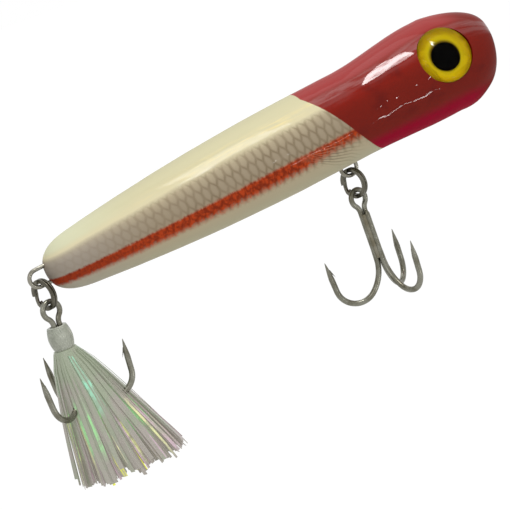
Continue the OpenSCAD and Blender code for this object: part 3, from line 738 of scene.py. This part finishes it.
def lathe(bm, steps):
    """Spins a profile once round the z axis and joins its two ends."""
    profile = bm.verts[:] + bm.edges[:]
    bmesh.ops.spin(
        bm, geom=profile, cent=(0, 0, 0), axis=(0, 0, 1), angle=2 * math.pi, steps=steps,
        use_merge=True,
    )


def dome(sign):
    """A clear cap over the disc, with a shallow pocket for the black disc."""
    bm = bmesh.new()
    sphere_r = (EYE_R**2 + DOME_H**2) / (2 * DOME_H)
    span = math.asin(EYE_R / sphere_r)
    drop = Matrix.Rotation(span / DOME_STEPS, 4, "Y")
    centre = Vector((0, 0, DOME_H - sphere_r))
    tip = [bm.verts.new((0, 0, DOME_H))]
    for _ in range(DOME_STEPS):
        tip = bmesh.ops.extrude_vert_indiv(bm, verts=tip)["verts"]
        bmesh.ops.rotate(bm, verts=tip, cent=centre, matrix=drop)
    foot = tip[0]
    for move in ((POCKET_R - EYE_R, 0, 0), (0, 0, POCKET_DEPTH), (-POCKET_R, 0, 0)):
        foot = grow(bm, foot, move)
    lathe(bm, 64)
    polish = bm.verts.layers.float.new("polish")
    for v in bm.verts:
        near = math.hypot(v.co.x - POLISHED[0], v.co.y + sign * POLISHED[1])
        v[polish] = 1 - ease((near - POLISH_CORE) / POLISH_FADE)
    return bm


print("eye", 2 * EYE_R, "mm across, dome", DOME_H, "mm high")

# %% Set the eyes
for name, sign in SIDES_OF_HEAD.items():
    layers = [
        # name, slot, shape, finish, drop and height on the seat
        ("iris", "iris", disc(EYE_R, DISC_T, IRIS_RIM), iris_finish(name, sign), 0, 0),
        ("pupil", "pupil", disc(BLACK_R, BLACK_T, BLACK_RIM), black, BLACK_DROP, DISC_T),
        ("dome", "lens", dome(sign), clear, 0, DISC_T),
    ]
    seat = eye_frame(sign) @ Matrix.Translation((0, 0, EYE_SEAT))
    for layer, slot, bm, finish, drop, height in layers:
        place = seat @ Matrix.Translation((0, sign * drop, height))
        make_piece(f"{name}_{layer}", bm, finish, "body", (f"{name}_eye_{slot}",), place)

# %% [markdown]
# ## Bent wire
# The hangers, the tie and the hooks are wire that a machine feeds and bends. A curve
# with a round bevel could follow them. Here the wire is fed and bent like the real one:
# a circle is pushed ahead for a straight run, and spun about a centre for a bend.


# %% Wire feeder
def sweep(bm, loop, centre, axis, degrees, steps, climb=0):
    """Spins a loop of edges about a centre and returns the last loop."""
    points = list({v for e in loop for v in e.verts})
    last = bmesh.ops.spin(
        bm, geom=points + loop, cent=centre, axis=axis, angle=math.radians(degrees), steps=steps,
        dvec=(0, 0, climb),
    )["geom_last"]
    return only(BMEdge, last)


WIRE_SIDES = 14


class Wire:
    """Feeds a round wire from a start, along a heading, with bends in between."""

    def __init__(self, bm, start, heading, radius):
        self.bm, self.at, self.heading = bm, Vector(start), Vector(heading).normalized()
        facing = self.heading.to_track_quat("Z", "Y").to_matrix().to_4x4()
        made = bmesh.ops.create_circle(
            bm, cap_ends=True, segments=WIRE_SIDES, radius=radius,
            matrix=Matrix.Translation(self.at) @ facing,
        )
        held = set(made["verts"])
        self.loop = [e for e in bm.edges if held.issuperset(e.verts)]

    def run(self, length, swell=1.0):
        """A straight run, which may taper to swell times its thickness."""
        home = Matrix.Translation(self.at)
        self.at = self.at + self.heading * length
        step = Matrix.Translation(self.at) @ Matrix.Scale(swell, 4) @ home.inverted()
        self.loop = push(self.bm, self.loop, step)

    def bend(self, angle, radius, towards, steps):
        """A bend in degrees, towards a direction at right angles to the heading."""
        inward = Vector(towards).normalized()
        centre = self.at + inward * radius
        axis = self.heading.cross(inward)
        turn = Matrix.Rotation(math.radians(angle), 3, axis)
        self.loop = sweep(self.bm, self.loop, centre, axis, angle, steps)
        self.at = centre + turn @ (self.at - centre)
        self.heading = turn @ self.heading

    def stop(self):
        """Closes the wire's end."""
        bmesh.ops.contextual_create(self.bm, geom=self.loop)


print("wire of", WIRE_SIDES, "sides")

# %% [markdown]
# ## Plated wire
# The wire, the rings and the hooks are plated. One even grey would look like plastic. So
# noise lets the colour and the gloss wander, as thin plating does.


# %% Plated wire
def wire_finish(name, colour, dull, spots, metallic=1.0):
    """A metal whose colour and gloss wander a little."""
    metal = Finish(name, metallic=metallic)
    cloud, speck = metal.noise(2.5, 3), metal.noise(0.35, 3)
    metal.set("Base Color", metal.mix(metal.step(cloud, 0.35, 0.7), colour, spots))
    metal.set("Roughness", dull + 0.1 * (speck - 0.5) + 0.1 * (cloud - 0.5))
    metal.relief(speck, 0.06, 0.02)
    return metal


bright_wire = wire_finish("bright_wire", srgb(146, 143, 132), 0.26, srgb(118, 114, 102))
tinned = wire_finish("tinned_hook", srgb(133, 132, 120), 0.28, srgb(102, 99, 84), 0.7)
print("wire finishes made")

# %% [markdown]
# ## Hangers
# Two hangers are bent into a U with turned-out feet, which the body is glued around. One
# function feeds and bends both, and a matrix puts each in its place.

# %% Hangers
HANGER_WIRE, HANGER_LOOP, LOOP_STEPS = 0.45, 1.8, 28
FOOT, FOOT_BEND, FOOT_STEPS = 1.9, 0.7, 6


def hanger(name, depth, place, node):
    bm = bmesh.new()
    wire = Wire(bm, (-depth, 0, HANGER_LOOP + FOOT_BEND + FOOT), (0, 0, -1), HANGER_WIRE)
    wire.run(FOOT)
    wire.bend(90, FOOT_BEND, (1, 0, 0), FOOT_STEPS)
    wire.run(depth - FOOT_BEND)
    wire.bend(180, HANGER_LOOP, (0, 0, -1), LOOP_STEPS)
    wire.run(depth - FOOT_BEND)
    wire.bend(90, FOOT_BEND, (0, 0, -1), FOOT_STEPS)
    wire.run(FOOT)
    wire.stop()
    make_piece(name, bm, bright_wire, "body", (node,), FLOAT @ place)


belly_place = Matrix.Translation((68, 0, -9.85)) @ Matrix.Rotation(QUARTER, 4, "Y")
tail_place = Matrix.Translation((-1.95, 0, 0)) @ Matrix.Rotation(math.pi, 4, "Y")
hanger("belly_wire_hanger", 7.0, belly_place, "belly_hanger")
hanger("tail_wire_hanger", 9.0, tail_place, "tail_hanger")

# %% [markdown]
# ## Line tie
# The line tie is a closed eye, flattened inside where the line runs. A torus is quick to
# add, but its section stays round. So a circle is flattened first and then spun.

# %% Line tie
TIE_LOOP, TIE_WIRE, TIE_BORE, TIE_DEPTH = 2.05, 0.5, 1.65, 11
TIE_LEG_R, TIE_LEG_GAP, TIE_LEG_START = 0.46, 0.65, 1.85
bm = bmesh.new()
section = Matrix.Translation((TIE_LOOP, 0, 0))
bmesh.ops.create_circle(bm, segments=16, radius=TIE_WIRE, matrix=section)
for v in bm.verts:
    v.co.x = max(v.co.x, TIE_BORE)
upright = Matrix.Rotation(QUARTER, 4, "X")
bmesh.ops.transform(bm, matrix=upright, verts=bm.verts)
lathe(bm, 56)
bmesh.ops.transform(bm, matrix=upright, verts=bm.verts)
for sign in (1, -1):
    leg = Wire(bm, (-TIE_LEG_START, 0, sign * TIE_LEG_GAP), (-1, 0, 0), TIE_LEG_R)
    leg.run(TIE_DEPTH - TIE_LEG_START - FOOT_BEND)
    leg.bend(90, FOOT_BEND, (0, 0, sign), FOOT_STEPS)
    leg.run(FOOT)
    leg.stop()
place = FLOAT @ Matrix.Translation(TIE)
make_piece("line_tie", bm, bright_wire, "body", ("nose_line_tie",), place)

# %% [markdown]
# ## Split rings
# A split ring is flat wire wound nearly twice round, like a key ring, with one quick
# climb from coil to coil. A Screw modifier would climb all the way. So a rounded section
# is spun flat, spun with a small rise each step for the climb, and spun flat again.

# %% Split rings
RING_R, RING_W, RING_T, RING_EDGE, RING_PITCH = 2.95, 0.9, 0.52, 0.17, 0.62
RING_TURN = math.radians(25)
CLIMB_STEPS = 10
COIL, CLIMB = (325, 58), (40, CLIMB_STEPS, RING_PITCH / CLIMB_STEPS)
RING_CENTRES = {
    "belly": Vector((-36.8102, 0, -16.6886)),
    "tail": Vector((-107.3822, 0, -13.5883)),
}
ring_metal = wire_finish("ring_nickel", srgb(108, 105, 94), 0.26, srgb(80, 77, 66))
stand = Matrix.Rotation(QUARTER, 4, "Y") @ Matrix.Rotation(QUARTER, 4, "Z")
stand = Matrix.Rotation(RING_TURN, 4, "Z") @ stand

for name, centre in RING_CENTRES.items():
    bm = bmesh.new()
    bmesh.ops.create_grid(bm, x_segments=1, y_segments=1, size=0.5)
    bmesh.ops.scale(bm, vec=(RING_W, RING_T, 1), verts=bm.verts)
    bmesh.ops.bevel(
        bm, geom=bm.verts[:], offset=RING_EDGE, offset_type="OFFSET", affect="VERTICES",
        segments=4, profile=0.5, material=-1,
    )
    bmesh.ops.transform(bm, matrix=Matrix.Rotation(QUARTER, 4, "X"), verts=bm.verts)
    bmesh.ops.translate(bm, vec=(RING_R, 0, -RING_PITCH / 2), verts=bm.verts)
    loop = bm.edges[:]
    for winding in (COIL, CLIMB, COIL):
        loop = sweep(bm, loop, (0, 0, 0), (0, 0, 1), *winding)
    bmesh.ops.contextual_create(bm, geom=loop)
    ring, place = f"{name}_ring", Matrix.Translation(centre) @ stand
    make_piece(ring, bm, ring_metal, ring, (f"{name}_split_ring",), place)

# %% [markdown]
# ## Treble hooks
# One wire is bent into two hooks with the eye between them, and a third hook is brazed
# on. Each bend opens wide and then closes, and is forged a little stouter than the shank.
# The point is ground to a taper, and a barb is chiselled up from the inside. The wire
# feeder makes all of it, from eye to point.

# %% Hook shape
HOOK_WIRE, HOOK_EYE, NECK_R, SHANK_OFF, SHANK_END = 0.575, 1.9, 2.2, 0.78, 13.3
EYE_STEPS, NECK_STEPS, UPPER_STEPS, LOWER_STEPS = 22, 9, 12, 26
UPPER_R, UPPER_TURN, LOWER_R, LOWER_TURN = 9.2, 48, 4.4, 128
FORGED, FORGED_R = 2.0, 0.64
POINT_LEG, GROUND, TIP_R, GRIND_POWER = 6.7, 3.8, 0.06, 1.25
GRIND_STOPS = (0.0, 0.25, 0.5, 0.75, 0.93, 1.0)
BARB_H, BARB_LENGTH, BARB_SINK = 0.45, 1.7, 0.2
BLADE_LENGTH, BLADE_TIP, BLADE_ROOT, BLADE_FLAT = 2.1, 0.04, 0.5, (0.62, 0.42, 1, 1)
HOOK_DROP = Vector((0, 0, 3.505))
HOOK_TURNS = {"belly": 288, "tail": 104}
PAIR_HALF = SHANK_OFF * math.sin(math.radians(60))
PAIR_PLANE = SHANK_OFF * math.cos(math.radians(60))
NECK_TURN = math.degrees(math.acos((PAIR_HALF + NECK_R) / (HOOK_EYE + NECK_R)))
SHANK_TOP = (HOOK_EYE + NECK_R) * math.sin(math.radians(NECK_TURN))


def compass(degrees):
    return Vector((math.cos(math.radians(degrees)), math.sin(math.radians(degrees)), 0))


def chisel_barb(bm, root, heading, inside):
    """A thin blade that lifts off the point leg and aims back at the bend."""
    lean = (heading * BARB_LENGTH - inside * (BARB_H + BARB_SINK)).normalized()
    across = lean.cross(inside).normalized()
    lift = across.cross(lean)
    tip = root + inside * (HOOK_WIRE + BARB_H)
    place = axes(across, lift, lean, tip + lean * BLADE_LENGTH / 2)
    bmesh.ops.create_cone(
        bm, cap_ends=True, segments=8, radius1=BLADE_TIP, radius2=BLADE_ROOT, depth=BLADE_LENGTH,
        matrix=place @ Matrix.Diagonal(BLADE_FLAT),
    )


def square_to(heading, side):
    """The part of a direction that stands square to a heading."""
    return (side - heading * side.dot(heading)).normalized()


def bend_and_point(wire, out):
    """From the end of the shank through the bend to the ground point, with its barb."""
    wire.run(FORGED, FORGED_R / HOOK_WIRE)
    wire.bend(UPPER_TURN, UPPER_R, out, UPPER_STEPS)
    wire.bend(LOWER_TURN, LOWER_R, square_to(wire.heading, out), LOWER_STEPS)
    wire.run(POINT_LEG - GROUND)
    barb_root, heading = wire.at.copy(), wire.heading.copy()
    radius = FORGED_R
    for before, share in zip(GRIND_STOPS, GRIND_STOPS[1:]):
        ground_off = share**GRIND_POWER
        ground_r = FORGED_R * (1 - ground_off) + TIP_R * ground_off
        wire.run(GROUND * (share - before), ground_r / radius)
        radius = ground_r
    wire.stop()
    chisel_barb(wire.bm, barb_root, heading, -square_to(heading, out))


print("neck bend", round(NECK_TURN, 2), "degrees, shank from", round(SHANK_TOP, 2))

# %% [markdown]
# A Mirror modifier could double one hook, but the pair is one wire. So it is fed both
# ways from the top of its eye. The third hook starts blunt below the eye, in steps that
# are written as a depth and a share of the wire's thickness.

# %% Bend the hooks
BLUNT = ((0.0, 0.55), (0.35, 0.85), (1.0, 1.0))


def hook_pair(turn):
    """Two hooks from one wire: from the top of the eye, one half goes each way."""
    bm = bmesh.new()
    facing = compass(turn + 180)
    top = facing * PAIR_PLANE + Vector((0, 0, HOOK_EYE))
    for sign in (1, -1):
        wire = Wire(bm, top, compass(turn + sign * 90), HOOK_WIRE)
        wire.bend(90 + NECK_TURN, HOOK_EYE, (0, 0, -1), EYE_STEPS)
        wire.bend(NECK_TURN, NECK_R, sign * wire.heading.cross(facing), NECK_STEPS)
        wire.run(SHANK_END - SHANK_TOP - FORGED)
        bend_and_point(wire, compass(turn + 180 - sign * 60))
    return bm


def hook_single(turn):
    """The third hook, whose straight shank lies against the other two."""
    bm = bmesh.new()
    top = compass(turn) * SHANK_OFF - Vector((0, 0, SHANK_TOP))
    wire = Wire(bm, top, (0, 0, -1), HOOK_WIRE * BLUNT[0][1])
    for (depth, share), (next_depth, next_share) in zip(BLUNT, BLUNT[1:]):
        wire.run(next_depth - depth, next_share / share)
    wire.run(SHANK_END - SHANK_TOP - FORGED - BLUNT[-1][0])
    bend_and_point(wire, compass(turn))
    return bm


for name, turn in HOOK_TURNS.items():
    hook, place = f"{name}_hook", Matrix.Translation(RING_CENTRES[name] - HOOK_DROP)
    make_piece(f"{name}_double", hook_pair(turn), tinned, hook, (f"{hook}_pair",), place)
    make_piece(f"{name}_third", hook_single(turn), tinned, hook, (f"{hook}_single",), place)

# %% [markdown]
# The braze between the shanks and the weights inside the body keep their solids. They
# only need a finish: a seam tinned with the hook but a little warmer, grey cast lead and
# polished steel.

# %% Finishes on the solids that stay
seam = wire_finish("braze_seam", srgb(134, 130, 115), 0.34, srgb(112, 106, 87), 0.7)
lead = wire_finish("cast_weight", srgb(112, 112, 116), 0.55, srgb(84, 84, 88))
polished = wire_finish("steel_ball", srgb(196, 196, 198), 0.14, srgb(172, 172, 176))
KEPT_SOLIDS = {
    "belly_hook_braze": seam, "tail_hook_braze": seam, "tail_ballast": lead,
    "rear_rattle_ball": polished, "front_rattle_ball": polished,
}
for node, finish in KEPT_SOLIDS.items():
    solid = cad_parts[node]
    solid.data.materials.clear()
    solid.data.materials.append(finish.material)
print("solids kept:", sorted(KEPT_SOLIDS))

# %% [markdown]
# ## Thread collar
# Thread is wound tight over the shanks and holds the tinsel. A coiled curve would show
# each turn, at a cost of many faces. Turns this tight look like ridges, so the profile
# of the barrel is a row of bumps, spun once round.

# %% Thread collar
COLLAR_TOP, COLLAR_LENGTH, COLLAR_R, COLLAR_END_R, COLLAR_HOLE = 3.4, 5.0, 2.6, 2.1, 1.405
TURNS, POINTS_PER_TURN, RIDGE, RIDGE_POWER = 20, 5, 0.1, 0.6
tail_hook = RING_CENTRES["tail"] - HOOK_DROP
outside = []
for i in range(TURNS * POINTS_PER_TURN + 1):
    share = i / (TURNS * POINTS_PER_TURN)
    ridge = abs(math.sin(math.pi * share * TURNS)) ** RIDGE_POWER
    swell = COLLAR_END_R + (COLLAR_R - COLLAR_END_R) * math.sin(math.pi * share)
    outside.append(Vector((swell - RIDGE + RIDGE * ridge, 0, -COLLAR_LENGTH * share)))
hole_top, hole_foot = Vector((COLLAR_HOLE, 0, 0)), Vector((COLLAR_HOLE, 0, -COLLAR_LENGTH))

bm = bmesh.new()
edge_point = bm.verts.new(hole_top)
for goal in [*outside, hole_foot, hole_top]:
    edge_point = grow(bm, edge_point, goal - edge_point.co)
lathe(bm, 56)

thread = Finish("white_thread", roughness=0.45, coat_weight=0.3)
fibre, stain = thread.noise(0.25, 3), thread.noise(2.0, 2)
worn = thread.step(stain, 0.35, 0.7)
thread.set("Base Color", thread.mix(worn, srgb(188, 191, 177), srgb(168, 172, 157)))
thread.relief(fibre, 0.25, 0.05)
place = Matrix.Translation(tail_hook - Vector((0, 0, COLLAR_TOP)))
make_piece(
    "collar_windings", bm, thread, "tail_hook", ("thread_collar",), place, sharp=70
)

# %% [markdown]
# ## Tinsel skirt
# The skirt is a bundle of flat pearl tinsel. A hair system would give the look, but it
# leaves no mesh to keep. So one thin ribbon is pushed out in a few steps, to be copied.

# %% One ribbon
RIBBON_STEPS = 8
ribbon = bmesh.new()
bmesh.ops.create_grid(ribbon, x_segments=1, y_segments=1, size=0.5)
tip = ribbon.faces[:]
for i in range(RIBBON_STEPS):
    grown = bmesh.ops.extrude_face_region(ribbon, geom=tip)["geom"]
    bmesh.ops.translate(ribbon, vec=(0, 0, 1 / RIBBON_STEPS), verts=only(BMVert, grown))
    if i:
        bmesh.ops.delete(ribbon, geom=tip, context="FACES_ONLY")
    tip = only(BMFace, grown)
bmesh.ops.recalc_face_normals(ribbon, faces=ribbon.faces)
ribbon_mesh = bpy.data.meshes.new("ribbon")
ribbon.to_mesh(ribbon_mesh)
print("ribbon of", len(ribbon_mesh.polygons), "faces")
ribbon.free()

# %% [markdown]
# Copies of the ribbon are bent along their own paths: out of the binding, down, and
# flaring to a hem that is trimmed in uneven locks. Random places would leave bald spots,
# so each ribbon stands a golden angle on from the last. It carries a tint and its
# distance from the binding for the colours.

# %% Lay the ribbons
RIBBONS, BRIGHT_FROM, BRIGHT_SHARE = 620, 0.55, 0.42
SLICE_TOP = COLLAR_TOP + COLLAR_LENGTH
ROOT_DEPTH = SLICE_TOP + 0.3
SKIRT_DROP, SKIRT_LEAN = 28.6, math.tan(math.radians(10))
HEM_X, HEM_Y = 11.8, 8.2
BUNDLE_IN, BUNDLE_OUT = 1.5, 2.55
BOUND_WIDTH, FILM_T, STRAND_STEP = 0.2, 0.09, 3.7
GOLDEN = math.radians(137.508)
draw = random.Random(11)

skirt = bmesh.new()
tint_layer = skirt.verts.layers.float.new("tint")
fall_layer = skirt.verts.layers.float.new("fall")
strand_layer = skirt.verts.layers.float.new("strand")
for i in range(RIBBONS):
    share = (i + 0.5) / RIBBONS
    turn = GOLDEN * i + draw.uniform(-0.15, 0.15)
    root = math.sqrt(BUNDLE_IN**2 + (BUNDLE_OUT**2 - BUNDLE_IN**2) * share)
    spread = 0.16 + 0.84 * math.sqrt(share) + draw.uniform(-0.04, 0.03)
    lock = 0.5 + 0.5 * math.sin(9 * turn + 1.3 * math.sin(4 * turn))
    curl = 0.6 * math.sin(3 * turn + 0.7)
    drop = SKIRT_DROP * (1 - 0.05 * lock - 0.06 * draw.random() ** 2 - 0.05 * (1 - share))
    # Some outer ribbons take the high tints, which carry painted glints.
    bright = share > BRIGHT_FROM and draw.random() < BRIGHT_SHARE
    tint = draw.uniform(0.82, 1.0) if bright else draw.uniform(0.0, 0.8)
    width = draw.uniform(0.5, 1.0) if bright else draw.uniform(0.7, 1.4)
    twist = draw.uniform(-0.8, 0.8)
    sway = draw.uniform(-0.4, 0.4)
    bulge = draw.uniform(0.25, 0.6)
    start = len(skirt.verts)
    skirt.from_mesh(ribbon_mesh)
    skirt.verts.ensure_lookup_table()
    for v in skirt.verts[start:]:
        fall = v.co.z
        flare = fall * (1 - bulge) + bulge * fall**0.65
        away = Vector((
            (root + (HEM_X * spread - root) * flare) * math.cos(turn),
            (root + (HEM_Y * spread - root) * flare) * math.sin(turn),
            0,
        ))
        around = turn + QUARTER + twist * fall
        across = Vector((math.cos(around), math.sin(around), 0))
        thin = Vector((-across.y, across.x, 0))
        wide = BOUND_WIDTH + (width - BOUND_WIDTH) * min(1, 2.2 * fall)
        wave = sway * math.sin(4.2 * fall + 6 * tint) * fall + curl * math.sin(5.5 * fall) * fall
        lean = Vector((SKIRT_LEAN * drop * fall, 0, -ROOT_DEPTH - drop * fall))
        v[tint_layer], v[fall_layer] = tint, fall
        v[strand_layer] = STRAND_STEP * i + width * v.co.x
        v.co = away + across * (v.co.x * wide + wave) + thin * (v.co.y * FILM_T) + lean
bpy.data.meshes.remove(ribbon_mesh)
print("skirt of", RIBBONS, "ribbons,", len(skirt.faces), "faces")

# %% [markdown]
# Above the ribbons the bound ends make a short sleeve. The film is a milky grey that
# drifts from green to mauve, and glows a little in its own colour: painted light that
# lifts its shade. A few ribbons carry painted glints: green near the binding, yellow at
# the hem.

# %% Sleeve and foil
SLEEVE_FOOT_R, SLEEVE_TOP_R, SLEEVE_H = 2.7, 2.45, 1.2
sleeve = bmesh.ops.create_cone(
    skirt, cap_ends=True, segments=40, radius1=SLEEVE_FOOT_R, radius2=SLEEVE_TOP_R, depth=SLEEVE_H,
    matrix=Matrix.Translation((0, 0, -SLICE_TOP - SLEEVE_H / 2)),
)["verts"]
for v in sleeve:
    v[tint_layer], v[fall_layer], v[strand_layer] = 0.5, 0.0, v.co.x

foil = Finish("pearl_tinsel", metallic=0.12)
tint, fall = foil.value("tint"), foil.value("fall")
across_film = {"W": foil.value("strand"), "Scale": 3.0, "Detail": 1.0}
fine = foil.add("ShaderNodeTexNoise", across_film, noise_dimensions="1D")
shade = 7.3 * tint
shade = shade.math("FRACT", shade)
veil = foil.step(foil.noise(6.0, 2) + 0.3 * fall + 0.25 * shade, 0.6, 1.0)
film = foil.mix(veil, srgb(139, 147, 127), srgb(151, 144, 138))
film = foil.mix(0.25 * shade * shade + 0.3 * foil.step(fine, 0.48, 0.75), film, srgb(130, 133, 117))
# Painted glints: a few ribbons are tinted as if they flashed in the light.
GLINTS = [
    # lowest and highest tint, start and end of the fall, colour
    (0.955, 1.0, 0.0, 0.45, srgb(146, 208, 178)), (0.925, 0.955, 0.4, 0.75, srgb(146, 206, 140)),
    (0.9, 0.925, 0.9, 1.1, srgb(230, 234, 50)), (0.86, 0.9, 0.5, 0.9, srgb(214, 216, 158)),
    (0.82, 0.86, 0.55, 1.1, srgb(184, 160, 172)),
]
broken = 0.3 + 0.6 * foil.step(foil.noise(2.6, 2), 0.4, 0.56)
for low, high, start, end, colour in GLINTS:
    chosen = foil.step(tint, low - 0.001, low) * foil.step(tint, high + 0.001, high)
    stretch = foil.step(fall, start - 0.12, start + 0.08) * foil.step(fall, end + 0.12, end - 0.08)
    film = foil.mix(broken * chosen * stretch * foil.step(fine, 0.2, 0.5), film, colour)
foil.set("Base Color", film)
# The film glows in its own colour: painted light that lifts the shade between ribbons.
foil.set("Emission Color", film)
foil.set("Emission Strength", 0.45)
foil.set("Roughness", 0.26 + 0.2 * foil.noise(1.5, 2))
place = Matrix.Translation(tail_hook)
make_piece("tinsel", skirt, foil, "tail_hook", ("tinsel_skirt",), place, sharp=50)

# %% [markdown]
# ## Size and finish
# The box of the dressed lure is printed beside the box of the solids, axis by axis. The
# looks must not change the size.

dressed_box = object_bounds()
for axis, low, high, new_low, new_high in zip("xyz", *cad_box, *dressed_box):
    print(axis, [round(c / MM, 2) for c in (low, high, new_low, new_high)])
